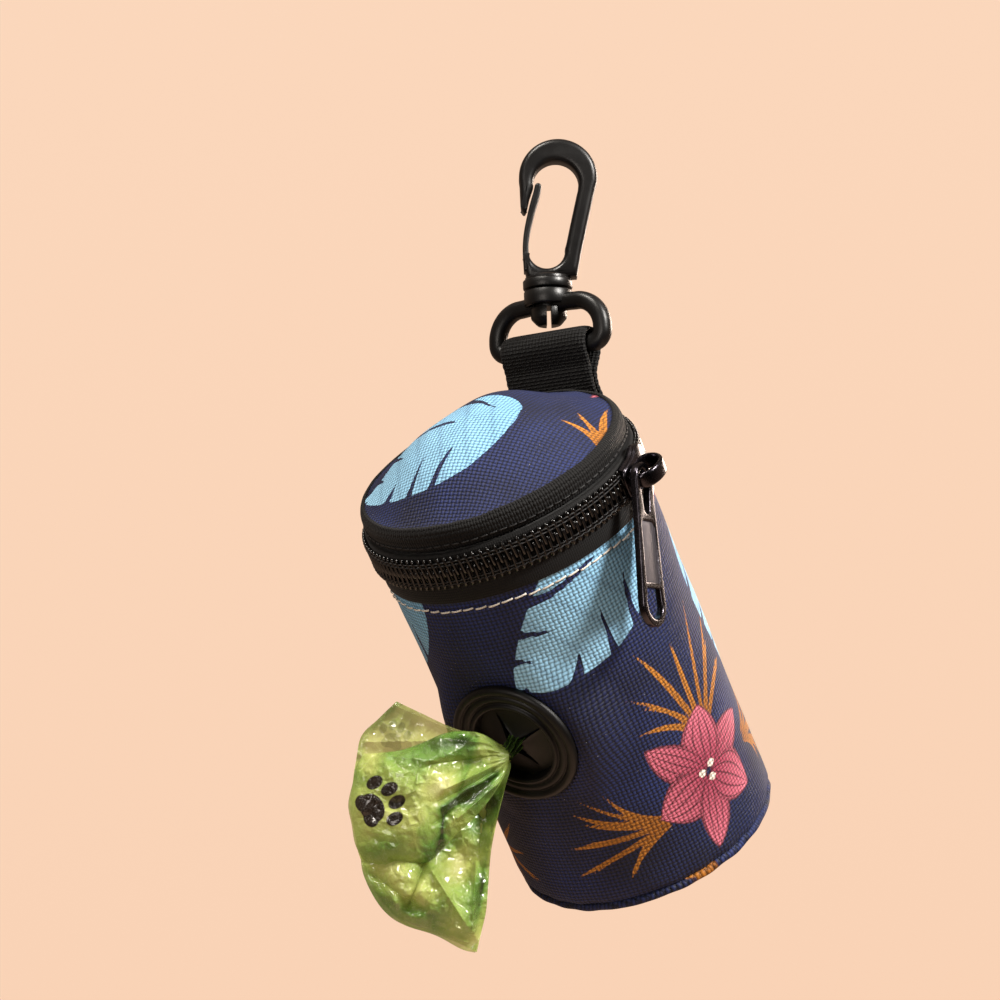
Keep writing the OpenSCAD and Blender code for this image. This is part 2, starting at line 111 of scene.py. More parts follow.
def make_piece(name, points, faces, where, finish, fields=None):
    """A mesh piece from points in millimetres of one of the frames. A field has a vector for each point."""
    mesh = bpy.data.meshes.new(name)
    mesh.from_pydata(in_metres(points, where).tolist(), [], [tuple(f) for f in faces])
    for field, values in (fields or {}).items():
        attribute = mesh.attributes.new(field, "FLOAT_VECTOR", "POINT")
        attribute.data.foreach_set("vector", np.asarray(values, np.float32).ravel())
    mesh.shade_smooth()
    mesh.materials.append(finish)
    piece = bpy.data.objects.new(name, mesh)
    bpy.context.scene.collection.objects.link(piece)
    return piece


def fit(piece, body, slot, *replaced):
    """Puts a finished piece on its body and hides the CAD nodes that it stands for. The material slot it is
    given is not used.
    """
    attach(piece, body)
    if replaced:
        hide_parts(*replaced)
    return piece


def grid_faces(rows, columns, round_rows=False, round_columns=False, first=0):
    """Faces between rows of points. A round grid also joins its last row or column to its first."""
    i = np.arange(rows if round_rows else rows - 1)[:, None]
    j = np.arange(columns if round_columns else columns - 1)[None, :]
    a = i * columns + j
    b = i * columns + (j + 1) % columns
    c = ((i + 1) % rows) * columns + (j + 1) % columns
    d = ((i + 1) % rows) * columns + j
    return (np.stack([a, b, c, d], -1).reshape(-1, 4) + first).tolist()


def tube_faces(rings, sides, first=0):
    """Faces of a tube made of rings of points, closed at both ends."""
    last = first + (rings - 1) * sides
    faces = grid_faces(rings, sides, round_columns=True, first=first)
    faces.append(list(range(first, first + sides))[::-1])
    faces.append(list(range(last, last + sides)))
    return faces


def inside_out(faces):
    return [face[::-1] for face in faces]


def turned(profile, start=0.0, end=CIRCLE, steps=193):
    """Turns a profile of (radius, height) about Z, from one angle in degrees to another."""
    angle = np.radians(np.linspace(start, end, steps))[:, None]
    r, z = np.asarray(profile, float).T
    return around(r, angle, z)


def arc_points(centre, radius, start, end, steps=16):
    """Points of an arc between two angles in degrees, counted from the x axis."""
    angle = np.radians(np.linspace(start, end, steps))
    return np.stack([centre[0] + radius * np.cos(angle), centre[1] + radius * np.sin(angle)], 1)


def smooth_path(points, steps):
    """A Catmull-Rom curve through the points, at equal distances. Returns it and the distance along it."""
    p = np.asarray(points, float)
    p = np.vstack([2 * p[0] - p[1], p, 2 * p[-1] - p[-2]])
    t = np.linspace(0, 1, 12, endpoint=False)[:, None]
    parts = []
    for a, b, c, d in zip(p[:-3], p[1:-2], p[2:-1], p[3:]):
        cubic = 3 * (b - c) + d - a
        square = 2 * a - 5 * b + 4 * c - d
        parts.append(b + 0.5 * t * (c - a + t * (square + t * cubic)))
    fine = np.vstack([*parts, p[-2:-1]])
    run = np.concatenate([[0], np.cumsum(np.linalg.norm(np.diff(fine, axis=0), axis=1))])
    at = np.linspace(0, run[-1], steps)
    return np.stack([np.interp(at, run, fine[:, k]) for k in range(fine.shape[1])], 1), at


def beside(line):
    """Unit vectors along a flat path, and those that point to its left."""
    along = np.gradient(line, axis=0)
    along /= np.linalg.norm(along, axis=1)[:, None]
    return along, np.stack([-along[:, 1], along[:, 0]], 1)


def threads(paths, radius, sides=7, out=(0, 0, 1.0), flat=1.0):
    """Round or flattened strands along paths of shape (strand, point, 3). Returns points and faces."""
    paths = np.asarray(paths, float)
    strands, length, _ = paths.shape
    tiny = 1e-12
    along = np.gradient(paths, axis=1)
    along /= np.linalg.norm(along, axis=2)[..., None] + tiny
    lift = np.broadcast_to(np.asarray(out, float), (strands, 3))[:, None, :]
    side = np.cross(along, lift)
    side /= np.linalg.norm(side, axis=2)[..., None] + tiny
    lift = np.cross(side, along)
    turn = np.linspace(0, 2 * np.pi, sides, endpoint=False)
    r = np.broadcast_to(np.asarray(radius, float), (strands, length))[:, :, None, None]
    ring = lift[:, :, None] * (flat * np.cos(turn))[:, None] + side[:, :, None] * np.sin(turn)[:, None]
    points = (paths[:, :, None] + r * ring).reshape(-1, 3)
    faces = []
    for k in range(strands):
        faces += tube_faces(length, sides, first=k * length * sides)
    return points, faces


def joined(*parts):
    """Several (points, faces) as one."""
    points, faces, first = [], [], 0
    for p, f in parts:
        p = np.asarray(p, float).reshape(-1, 3)
        points.append(p)
        faces += [[v + first for v in face] for face in f]
        first += len(p)
    return np.vstack(points), faces


def moulded_plate(outline, holes, thickness, edge, rounds):
    """Points and faces of a flat plate with rounded edges, lying in XY about z = 0."""
    curve = bpy.data.curves.new("plate", "CURVE")
    curve.dimensions = "2D"
    curve.fill_mode = "BOTH"
    curve.extrude = thickness / 2 - edge
    curve.bevel_depth = edge
    curve.offset = -edge
    curve.bevel_resolution = rounds
    for loop in [outline, *holes]:
        spline = curve.splines.new("POLY")
        spline.points.add(len(loop) - 1)
        for point, (x, y) in zip(spline.points, loop):
            point.co = (x, y, 0, 1)
        spline.use_cyclic_u = True
    holder = bpy.data.objects.new("plate", curve)
    bpy.context.scene.collection.objects.link(holder)
    bpy.context.view_layer.update()
    mesh = bpy.data.meshes.new_from_object(holder.evaluated_get(bpy.context.evaluated_depsgraph_get()))
    made = bmesh.new()
    made.from_mesh(mesh)
    bmesh.ops.remove_doubles(made, verts=made.verts, dist=1e-4)
    points = [tuple(v.co) for v in made.verts]
    faces = [[v.index for v in f.verts] for f in made.faces]
    made.free()
    bpy.data.objects.remove(holder)
    bpy.data.curves.remove(curve)
    bpy.data.meshes.remove(mesh)
    return points, faces


def standing(points):
    """Stands a flat plate up, so that what lay in XY is in XZ."""
    x, y, z = np.array(points).T
    return np.stack([x, -z, y], 1)


def soften(piece, degrees):
    """Smooth faces that keep the creases sharper than that."""
    piece.data.set_sharp_from_angle(angle=math.radians(degrees))
    return piece


def with_subdivision(piece):
    modifier = piece.modifiers.new("smooth", "SUBSURF")
    modifier.levels = modifier.render_levels = 1
    return piece


def with_thickness(piece, millimetres):
    """Gives a layer its thickness behind its faces, or in front of them where the thickness is negative."""
    modifier = piece.modifiers.new("thickness", "SOLIDIFY")
    modifier.thickness = millimetres * MM
    modifier.offset = -1
    return piece


def waves(angle, seed, low, high):
    """Soft random waves round a circle, between about -1 and 1. Low and high bound their number."""
    rng = np.random.default_rng(seed)
    total = 0
    for n in range(low, high):
        total = total + rng.normal() * np.cos(n * angle + rng.uniform(0, 6.28)) / math.sqrt(n)
    return total / 2


def ease(t):
    """A soft step, from 0 at t = 0 to 1 at t = 1."""
    t = np.clip(t, 0, 1)
    return t * t * (3 - 2 * t)


# ---- Finishes ----
def linear(colour):
    """An sRGB hex colour as linear values."""
    parts = [int(colour[i:i + 2], 16) / 255 for i in (1, 3, 5)]
    return (*[c / 12.92 if c <= 0.04045 else ((c + 0.055) / 1.055) ** 2.4 for c in parts], 1.0)


def add(tree, kind, settings=None, inputs=None):
    """Adds a node with its settings and what goes into it: a value, a socket, or a node's shown output."""
    made = tree.nodes.new("ShaderNode" + kind)
    for name, value in (settings or {}).items():
        if name == "stops":
            ramp = made.color_ramp
            while len(ramp.elements) < len(value):
                ramp.elements.new(0.5)
            for element, (position, colour) in zip(ramp.elements, value):
                element.position = position
                element.color = linear(colour)
        else:
            setattr(made, name, value)
    for name, value in (inputs or {}).items():
        if isinstance(value, bpy.types.Node):
            value = next(o for o in value.outputs if o.enabled)
        if isinstance(value, bpy.types.NodeSocket):
            tree.links.new(value, made.inputs[name])
        else:
            made.inputs[name].default_value = value
    return made


def new_finish(name, **sockets):
    """A material with one principled shader. Returns the material, its tree and the shader."""
    finish = bpy.data.materials.new(name)
    finish.use_nodes = True
    tree = finish.node_tree
    tree.nodes.clear()
    shader = add(tree, "BsdfPrincipled", inputs={k.replace("_", " "): v for k, v in sockets.items()})
    add(tree, "OutputMaterial", inputs={"Surface": shader})
    return finish, tree, shader


def millimetre_place(tree):
    """The piece's own coordinates in millimetres."""
    own = add(tree, "TexCoord").outputs["Object"]
    return add(tree, "VectorMath", {"operation": "SCALE"}, {0: own, "Scale": 1 / MM})


def cloth_place(tree):
    """Millimetres along and across the cloth, from the field that its mesh carries."""
    return add(tree, "Attribute", {"attribute_name": "cloth"}).outputs["Vector"]


def weave_height(tree, place, warp, weft):
    """Height of a plain weave, 0 in the gaps and 1 on the crowns of the threads. Each thread is round across
    itself, and rises and dives by turns as it crosses the others."""
    roundness, mean, swing = 0.6, 0.67, 0.33
    at = add(tree, "SeparateXYZ", inputs={0: place})
    u = add(tree, "Math", {"operation": "DIVIDE"}, {0: at.outputs[0], 1: warp})
    v = add(tree, "Math", {"operation": "DIVIDE"}, {0: at.outputs[1], 1: weft})
    heights = []
    for across, along, phase in ((u, v, 0.0), (v, u, 1.0)):
        thread = add(tree, "Math", {"operation": "ROUND"}, {0: across})
        turn = add(tree, "Math", {"operation": "MULTIPLY"}, {0: across, 1: math.pi})
        profile = add(tree, "Math", {"operation": "COSINE"}, {0: turn})
        profile = add(tree, "Math", {"operation": "ABSOLUTE"}, {0: profile})
        profile = add(tree, "Math", {"operation": "POWER"}, {0: profile, 1: roundness})
        beat = add(tree, "Math", {"operation": "ADD"}, {0: thread, 1: along})
        beat = add(tree, "Math", {"operation": "ADD"}, {0: beat, 1: phase})
        beat = add(tree, "Math", {"operation": "MULTIPLY"}, {0: beat, 1: math.pi})
        rise = add(tree, "Math", {"operation": "COSINE"}, {0: beat})
        rise = add(tree, "Math", {"operation": "MULTIPLY_ADD"}, {0: rise, 1: swing, 2: mean})
        heights.append(add(tree, "Math", {"operation": "MULTIPLY"}, {0: profile, 1: rise}))
    return add(tree, "Math", {"operation": "MAXIMUM"}, {0: heights[0], 1: heights[1]})


def bump(tree, shader, height, depth):
    """Relief of that many millimetres on the shader."""
    relief = add(tree, "Bump", inputs={"Height": height, "Distance": depth * MM})
    tree.links.new(relief.outputs[0], shader.inputs["Normal"])


def printed_oxford():
    """Polyester oxford cloth, woven from thick yarn and sublimation printed. The crowns of the threads are
    painted lighter and the gaps between them painted darker, as painted light and shade, and the edges of
    the print run a little."""
    finish, tree, shader = new_finish("printed polyester oxford, woven", Roughness=0.66, IOR=1.4,
                                      Sheen_Weight=0.02, Sheen_Roughness=0.4)
    place = cloth_place(tree)
    # Yarns lie 0.84 mm apart one way and 0.72 mm the other. The ink bleeds in specks of about 0.77 mm, the
    # dye clouds over about 20 mm, and undyed fibre ends are about 1.8 mm apart.
    warp, weft = 0.84, 0.72
    height = weave_height(tree, place, warp, weft)
    bleed = add(tree, "TexNoise", inputs={"Vector": place, "Scale": 1 / 0.77, "Detail": 3.0})
    ragged = add(tree, "Math", {"operation": "MULTIPLY_ADD"}, {0: bleed, 1: 0.36, 2: -0.18})
    cloud = add(tree, "TexNoise", inputs={"Vector": place, "Scale": 1 / 20, "Detail": 4.0})
    ground = add(tree, "ValToRGB", {"stops": [(0.35, "#0d122e"), (0.65, "#18234f")]}, {0: cloud})
    # painted light and shade: the ground is lightened on the crowns of the threads and darkened in the gaps
    # between them
    crown = add(tree, "MapRange", inputs={0: height, 1: 0.4, 2: 0.95, 3: 0.45, 4: 1.35})
    colour = add(tree, "VectorMath", {"operation": "SCALE"}, {0: ground, "Scale": crown})
    # Each ink: its field, its deep and pale tone, then the colour, number and strength of its veins
    inks = (
        ("blue", "#76a9cb", "#97c7e3", "#1c2450", 7.0, 0.2),
        ("orange", "#8c5215", "#bd7a28", "#38200d", 1.0, 0.7),
        ("coral", "#8a2a42", "#cc6a7c", "#3a0e1b", 2.4, 0.85),
        ("cream", "#cfc3b4", "#e4dccf", "#8a7c70", 1.0, 0.0),
    )
    for ink, deep, pale, line, lines, strength in inks:
        field = add(tree, "Attribute", {"attribute_name": ink})
        at = add(tree, "SeparateXYZ", inputs={0: field.outputs["Vector"]})
        edge = add(tree, "Math", {"operation": "ADD"}, {0: at.outputs[0], 1: ragged})
        mask = add(tree, "MapRange", inputs={0: edge, 1: -0.08, 2: 0.08, 3: 0.0, 4: 1.0})
        tone = add(tree, "MapRange", inputs={0: at.outputs[2], 1: 0.0, 2: 1.0, 3: 0.0, 4: 1.0})
        body = add(tree, "Mix", {"data_type": "RGBA"}, {0: tone, 6: linear(deep), 7: linear(pale)})
        across = add(tree, "Math", {"operation": "MULTIPLY"}, {0: at.outputs[1], 1: lines})
        if ink == "blue":
            # the veins of a leaf slant from its middle towards its tip
            side = add(tree, "Math", {"operation": "ABSOLUTE"}, {0: at.outputs[1]})
            across = add(tree, "Math", {"operation": "MULTIPLY_ADD"}, {0: at.outputs[2], 1: lines, 2: side})
            across = add(tree, "Math", {"operation": "SUBTRACT"}, {0: across, 1: side})
        wave = add(tree, "Math", {"operation": "PINGPONG"}, {0: across, 1: 0.5})
        vein = add(tree, "MapRange", inputs={0: wave, 1: 0.0, 2: 0.16, 3: strength, 4: 0.0})
        if ink == "coral":
            # a petal is dark round its rim
            rim = add(tree, "MapRange", inputs={0: edge, 1: 0.15, 2: 0.6, 3: 0.85, 4: 0.0})
            vein = add(tree, "Math", {"operation": "MAXIMUM"}, {0: vein, 1: rim})
        body = add(tree, "Mix", {"data_type": "RGBA"}, {0: vein, 6: body, 7: linear(line)})
        colour = add(tree, "Mix", {"data_type": "RGBA"}, {0: mask, 6: colour, 7: body})
    # painted shade in the gaps between the threads and painted light on their crowns, over ground and inks
    # alike
    shade = add(tree, "MapRange", inputs={0: height, 1: 0.35, 2: 0.97, 3: 0.45, 4: 1.3})
    shaded = add(tree, "VectorMath", {"operation": "SCALE"}, {0: colour, "Scale": shade})
    fleck = add(tree, "TexVoronoi", inputs={"Vector": place, "Scale": 1 / 1.82})
    speck = add(tree, "MapRange", inputs={0: fleck.outputs["Distance"], 1: 0.05, 2: 0.03, 3: 0.0, 4: 0.5})
    flecked = add(tree, "Mix", {"data_type": "RGBA"}, {0: speck, 6: shaded, 7: linear("#b9b6b8")})
    tree.links.new(flecked.outputs[2], shader.inputs["Base Color"])
    bump(tree, shader, height, 0.24)
    return finish


def plain_black(name, dark, light, roughness, grain, depth, ior=1.5):
    """A black surface with a fine even grain, given its colours, its grain in millimetres and its relief.
    Its gloss wanders a little over about 8 mm, as handled plastic's does."""
    finish, tree, shader = new_finish(name, Roughness=roughness, IOR=ior)
    place = millimetre_place(tree)
    fine = add(tree, "TexNoise",
               inputs={"Vector": place, "Scale": 1 / grain, "Detail": 3.0, "Roughness": 0.6})
    broad = add(tree, "TexNoise", inputs={"Vector": place, "Scale": 1 / 8.33, "Detail": 3.0})
    tone = add(tree, "Math", {"operation": "MULTIPLY"}, {0: fine, 1: 0.4})
    tone = add(tree, "Math", {"operation": "MULTIPLY_ADD"}, {0: broad, 1: 0.6, 2: tone})
    colour = add(tree, "ValToRGB", {"stops": [(0.35, dark), (0.68, light)]}, {0: tone})
    tree.links.new(colour.outputs[0], shader.inputs["Base Color"])
    matt = add(tree, "MapRange", inputs={0: broad, 1: 0.3, 2: 0.7, 3: roughness - 0.06, 4: roughness + 0.08})
    tree.links.new(matt.outputs[0], shader.inputs["Roughness"])
    bump(tree, shader, fine, depth)
    return finish


def plain_weave(name, dark, light, warp, weft, depth, roughness, sheen):
    """Yarn in a plain weave, given the distance between its threads in millimetres. Its colour is painted
    lighter on the crowns of the threads and darker in the gaps, as painted shade, and its fibres, about 0.2
    mm apart, break up the colour of the yarns."""
    finish, tree, shader = new_finish(name, Roughness=roughness, IOR=1.32, Sheen_Weight=sheen,
                                      Sheen_Roughness=0.45)
    place = cloth_place(tree)
    height = weave_height(tree, place, warp, weft)
    fibre = add(tree, "TexNoise", inputs={"Vector": place, "Scale": 1 / 0.2, "Detail": 2.0})
    # painted shade: the colour follows the weave's height, darker in the gaps and lighter on the crowns,
    # with the fibres' grain mixed in
    tone = add(tree, "Math", {"operation": "MULTIPLY_ADD"}, {0: fibre, 1: 0.35, 2: height})
    colour = add(tree, "ValToRGB", {"stops": [(0.35, dark), (1.0, light)]}, {0: tone})
    tree.links.new(colour.outputs[0], shader.inputs["Base Color"])
    bump(tree, shader, height, depth)
    return finish


def plated_metal(name, dark, light, roughness):
    """Zinc alloy plated with black nickel: a dark smoky mirror, rubbed paler in clouds of about 3 mm, and
    broken up by the fine orange peel of the casting."""
    finish, tree, shader = new_finish(name, Metallic=1.0, Roughness=roughness)
    place = millimetre_place(tree)
    cloud = add(tree, "TexNoise", inputs={"Vector": place, "Scale": 1 / 2.86, "Detail": 5.0})
    colour = add(tree, "ValToRGB", {"stops": [(0.3, dark), (0.7, light)]}, {0: cloud})
    tree.links.new(colour.outputs[0], shader.inputs["Base Color"])
    fine = add(tree, "TexNoise", inputs={"Vector": place, "Scale": 1 / 0.167, "Detail": 2.0})
    matt = add(tree, "MapRange", inputs={0: fine, 1: 0.3, 2: 0.7, 3: roughness - 0.05, 4: roughness + 0.1})
    tree.links.new(matt.outputs[0], shader.inputs["Roughness"])
    bump(tree, shader, fine, 0.01)
    return finish


def pale_cells(name, dark, light, cell, depth, roughness=0.85):
    """A pale open or fibrous material, given the size of its cells in millimetres. Its tone drifts over
    about 5 mm."""
    finish, tree, shader = new_finish(name, Roughness=roughness)
    place = millimetre_place(tree)
    cells = add(tree, "TexVoronoi", inputs={"Vector": place, "Scale": 1 / cell})
    cloud = add(tree, "TexNoise", inputs={"Vector": place, "Scale": 1 / 5, "Detail": 4.0})
    tone = add(tree, "Math", {"operation": "MULTIPLY_ADD"}, {0: cells.outputs["Distance"], 1: 0.5, 2: cloud})
    colour = add(tree, "ValToRGB", {"stops": [(0.4, dark), (0.9, light)]}, {0: tone})
    tree.links.new(colour.outputs[0], shader.inputs["Base Color"])
    bump(tree, shader, cells.outputs["Distance"], depth)
    return finish


def bag_plastic():
    """Low-density polyethylene film, blown thin and dyed green. It is glossy and lets light through: one
    layer is yellow-green, doubled ones are a deeper green, and the printed paw is a flat dark ink. The field
    "film" gives the distance inside the print, the depth of the layers with painted shade and light laid on
    it, and the strength of the ink."""
    finish, tree, shader = new_finish("green polyethylene film, blown", Roughness=0.2, IOR=1.51,
                                      Coat_Weight=1.0, Coat_Roughness=0.06)
    output = next(n for n in tree.nodes if n.type == "OUTPUT_MATERIAL")
    carried = add(tree, "Attribute", {"attribute_name": "film"})
    field = add(tree, "SeparateXYZ", inputs={0: carried.outputs["Vector"]})
    place = millimetre_place(tree)
    # Clouds of 6.25 mm in the dye. Wrinkles of 0.77 mm and creases 2 mm apart: real ones are finer, and are
    # drawn this coarse so that they show.
    cloud = add(tree, "TexNoise",
                inputs={"Vector": place, "Scale": 1 / 6.25, "Detail": 4.0, "Distortion": 0.6})
    # the depth of the layers with painted shade and light from the field, and clouds in the dye
    depth = add(tree, "Math", {"operation": "MULTIPLY_ADD"}, {0: cloud, 1: 0.45, 2: field.outputs[1]})
    colour = add(tree, "ValToRGB", {"stops": [(0.1, "#dfdf9c"), (0.34, "#bfca72"), (0.58, "#96b056"),
                                             (0.82, "#668f3c"), (1.0, "#2a3d18")]}, {0: depth})
    ink = add(tree, "MapRange", inputs={0: field.outputs[0], 1: -0.05, 2: 0.1, 3: 0.0, 4: 1.0})
    ink = add(tree, "Math", {"operation": "MULTIPLY"}, {0: ink, 1: field.outputs[2]})
    inked = add(tree, "Mix", {"data_type": "RGBA"}, {0: ink, 6: colour, 7: linear("#231b14")})
    tree.links.new(inked.outputs[2], shader.inputs["Base Color"])
    fine = add(tree, "TexNoise",
               inputs={"Vector": place, "Scale": 1 / 0.77, "Detail": 7.0, "Distortion": 2.2})
    wrinkle = add(tree, "TexVoronoi", {"feature": "DISTANCE_TO_EDGE"}, {"Vector": place, "Scale": 1 / 2})
    crumple = add(tree, "Math", {"operation": "MULTIPLY_ADD"}, {0: wrinkle.outputs[0], 1: 1.8, 2: fine})
    matt = add(tree, "MapRange", inputs={0: fine, 1: 0.35, 2: 0.65, 3: 0.08, 4: 0.3})
    tree.links.new(matt.outputs[0], shader.inputs["Roughness"])
    bump(tree, shader, crumple, 0.24)
    glow = add(tree, "BsdfTranslucent", inputs={"Color": inked.outputs[2]})
    lit = add(tree, "MixShader", inputs={0: 0.22, 1: shader, 2: glow})
    clear = add(tree, "BsdfTransparent", inputs={"Color": linear("#eef0c4")})
    thin = add(tree, "MapRange", inputs={0: depth, 1: 0.3, 2: 0.9, 3: 0.3, 4: 0.04})
    solid = add(tree, "Math", {"operation": "SUBTRACT"}, {0: 1.0, 1: ink})
    thin = add(tree, "Math", {"operation": "MULTIPLY"}, {0: thin, 1: solid})
    tree.links.new(add(tree, "MixShader", inputs={0: thin, 1: lit, 2: clear}).outputs[0], output.inputs[0])
    return finish


OXFORD = printed_oxford()

# Acetal, injection moulded: dense and waxy, with a broad soft gleam along its rounded edges.
ACETAL = plain_black("black acetal, moulded", "#070606", "#0e0d0d", 0.37, 0.3, 0.02, ior=1.42)

# Rubber, compression moulded: a little duller and warmer than the hook, with no sharp highlight.
RUBBER = plain_black("black rubber, moulded", "#070605", "#0e0c0b", 0.42, 0.3, 0.02, ior=1.36)

# Nylon monofilament, wound hot into a coil: a small bright glint on each loop.
NYLON = plain_black("black nylon monofilament, formed", "#080707", "#0f0d0d", 0.17, 0.5, 0.01, ior=1.56)

# Polyester sewing thread, spun and twisted: matt, with a fibrous grain. Its fibres are drawn 0.12 mm apart.
THREAD_BLACK = plain_black("black polyester thread, twisted", "#060506", "#151314", 0.6, 0.12, 0.03)
THREAD_CREAM = pale_cells("cream polyester thread, twisted", "#c9beb0", "#efe8dc", 0.15, 0.05, 0.6)

# Polypropylene webbing, woven from flat yarn: coarse ribs that take away the light, and almost no gloss.
WEBBING = plain_weave("black polypropylene webbing, woven", "#010101", "#0a0909", 0.72, 0.62, 0.32, 0.75,
                      0.02)

# Grosgrain binding, woven with thick weft: close ribs across a flat matt ribbon.
RIBBON = plain_weave("black grosgrain binding, woven", "#020202", "#0b0a0a", 0.5, 0.95, 0.3, 0.75, 0.03)

# Zip tape, woven fine and tight: smoother than the binding, with a faint sheen at its bends.
TAPE = plain_weave("black polyester zip tape, woven", "#030303", "#0c0b0b", 0.42, 0.5, 0.08, 0.75, 0.05)

# Lining taffeta, woven thin: a smooth grey-blue, paler and silkier than the outer cloth.
LINING = plain_weave("dark blue polyester lining, woven", "#20243c", "#3c4468", 0.32, 0.32, 0.04, 0.6, 0.1)

# Zinc alloy, die cast and plated with black nickel: polished on the slider, satin in the pull's sunk panel.
NICKEL = plated_metal("zinc alloy, black nickel plated", "#333136", "#524e54", 0.2)
NICKEL_PANEL = plated_metal("zinc alloy panel, black nickel plated, satin", "#726f75", "#7d7a80", 0.52)

# Polyurethane foam, sliced from a block: open cells that hold soft shade, with no gloss.
FOAM = pale_cells("white polyurethane foam, sliced", "#cfcbc2", "#ece9e2", 0.5, 0.2, 0.9)

# Paperboard, wound into a tube: matt brown with small fibre flecks.
CARD = pale_cells("brown paper tube, wound", "#8d6f4c", "#b08d63", 0.8, 0.05)

# Polyethylene sheet, die cut: milky, with a dull smooth gleam.
STIFFENER = pale_cells("white polyethylene sheet, cut", "#c9cac8", "#e3e4e2", 1.5, 0.02, 0.45)

FILM = bag_plastic()


# ---- Camera, light and stage. Their places are in metres ----
def set_camera():
    """The photograph's viewpoint: a long lens in front of the pouch, that looks up a little and leans."""
    tilt, lean, turn = 97.092, 2.103, -0.186
    data = bpy.data.cameras.new("camera")
    data.sensor_width = 36.0
    data.lens = 86.4
    data.clip_start, data.clip_end = 0.01, 20.0
    camera = bpy.data.objects.new("camera", data)
    camera.location = (-0.016014, -0.438107, -0.117591)
    camera.rotation_euler = [math.radians(a) for a in (tilt, lean, turn)]
    bpy.context.scene.collection.objects.link(camera)
    bpy.context.scene.camera = camera


def add_lamp(name, place, target, size, watts, colour):
    """A round soft lamp at a place, turned to its target."""
    data = bpy.data.lights.new(name, "AREA")
    data.shape = "DISK"
    data.size = size
    data.energy = watts
    data.color = linear(colour)[:3]
    lamp = bpy.data.objects.new(name, data)
    lamp.location = place
    lamp.rotation_euler = (Vector(target) - Vector(place)).to_track_quat("-Z", "Y").to_euler()
    bpy.context.scene.collection.objects.link(lamp)


def set_light():
    """A pale room and four soft lamps. The camera sees the room's wall, and gloss a dimmer copy of it that
    fades towards the front. A faint light from all round, brighter from above, fills the shadows."""
    world = bpy.data.worlds.new("studio")
    bpy.context.scene.world = world
    world.use_nodes = True
    tree = world.node_tree
    tree.nodes.clear()
    path = add(tree, "LightPath")
    around = add(tree, "TexCoord")
    direction = add(tree, "SeparateXYZ", inputs={0: around.outputs["Generated"]})
    height = add(tree, "MapRange", inputs={0: direction.outputs[2], 1: -0.6, 2: 0.8, 3: 0.0, 4: 1.0})
    wall = add(tree, "Mix", {"data_type": "RGBA"}, {0: height, 6: linear("#f7cdae"), 7: linear("#fddcc2")})
    soft = add(tree, "Mix", {"data_type": "RGBA"}, {0: height, 6: linear("#b59a86"), 7: linear("#fff6ec")})
    seen = add(tree, "Background", inputs={0: wall, 1: 1.0})
    fill = add(tree, "Background", inputs={0: soft, 1: 0.2})
    away = add(tree, "MapRange", inputs={0: direction.outputs[1], 1: -0.6, 2: 0.5, 3: 0.02, 4: 0.32})
    mirrored = add(tree, "Background", inputs={0: wall, 1: away})
    shiny = add(tree, "Math", {"operation": "MAXIMUM"},
                {0: path.outputs["Is Glossy Ray"], 1: path.outputs["Is Transmission Ray"]})
    mixed = add(tree, "MixShader", inputs={0: shiny, 1: fill, 2: mirrored})
    mixed = add(tree, "MixShader", inputs={0: path.outputs["Is Camera Ray"], 1: mixed, 2: seen})
    add(tree, "OutputWorld", inputs={"Surface": mixed})
    add_lamp("key", (0.62, -0.42, 0.42), (0, 0, -0.08), 0.2, 16.5, "#fffaf4")
    add_lamp("top", (-0.3, -0.35, 0.75), (0, 0, -0.06), 0.26, 9.0, "#fff8ee")
    add_lamp("front", (-0.45, -0.9, -0.05), (0, 0, -0.08), 0.4, 3.2, "#fff4ea")
    add_lamp("rim", (0.5, 0.6, 0.15), (0, 0, -0.08), 0.3, 4.0, "#ffe9d6")
    bpy.context.scene.view_settings.view_transform = "Standard"


def set_stage():
    """A pale floor well below the hanging part. It fades out, so that no horizon shows."""
    radius, drop, corners = 700, 420, 64
    finish, tree, shader = new_finish("pale floor paint, rolled", Base_Color=linear("#f9d3b6"),
                                      Roughness=0.9)
    place = add(tree, "TexCoord")
    distance = add(tree, "VectorMath", {"operation": "LENGTH"}, {0: place.outputs["Object"]})
    reach = add(tree, "MapRange", inputs={0: distance.outputs["Value"], 1: 0.25, 2: 0.6, 3: 0.0, 4: 1.0})
    under = add(tree, "NewGeometry").outputs["Backfacing"]
    gone = add(tree, "Math", {"operation": "MAXIMUM"}, {0: reach, 1: under})
    clear = add(tree, "BsdfTransparent")
    mixed = add(tree, "MixShader", inputs={0: gone, 1: shader, 2: clear})
    output = next(n for n in tree.nodes if n.type == "OUTPUT_MATERIAL")
    tree.links.new(mixed.outputs[0], output.inputs[0])
    angle = np.linspace(0, 2 * np.pi, corners, endpoint=False)
    rim = vectors(radius * np.cos(angle), radius * np.sin(angle), -drop)
    floor = make_piece("floor", rim, [list(range(corners))], WORLD, finish)


# ---- The print: torn blue leaves, orange sprays and coral blossoms, laid out in millimetres ----
def leaf(ink, base, tip, half, bend=0.0, low=0.6, high=0.8, tears=0):
    """One printed shape from base to tip, with half its width, how far it bends sideways, how blunt its
    lower and upper ends are (smaller is blunter), and how many tears run into each side."""
    return {"ink": ink, "base": base, "tip": tip, "half": half, "bend": bend, "low": low, "high": high,
            "tears": tears}


def polar(x, y, distance, angle):
    """The point at that distance and angle in radians from (x, y)."""
    return x + distance * math.cos(angle), y + distance * math.sin(angle)


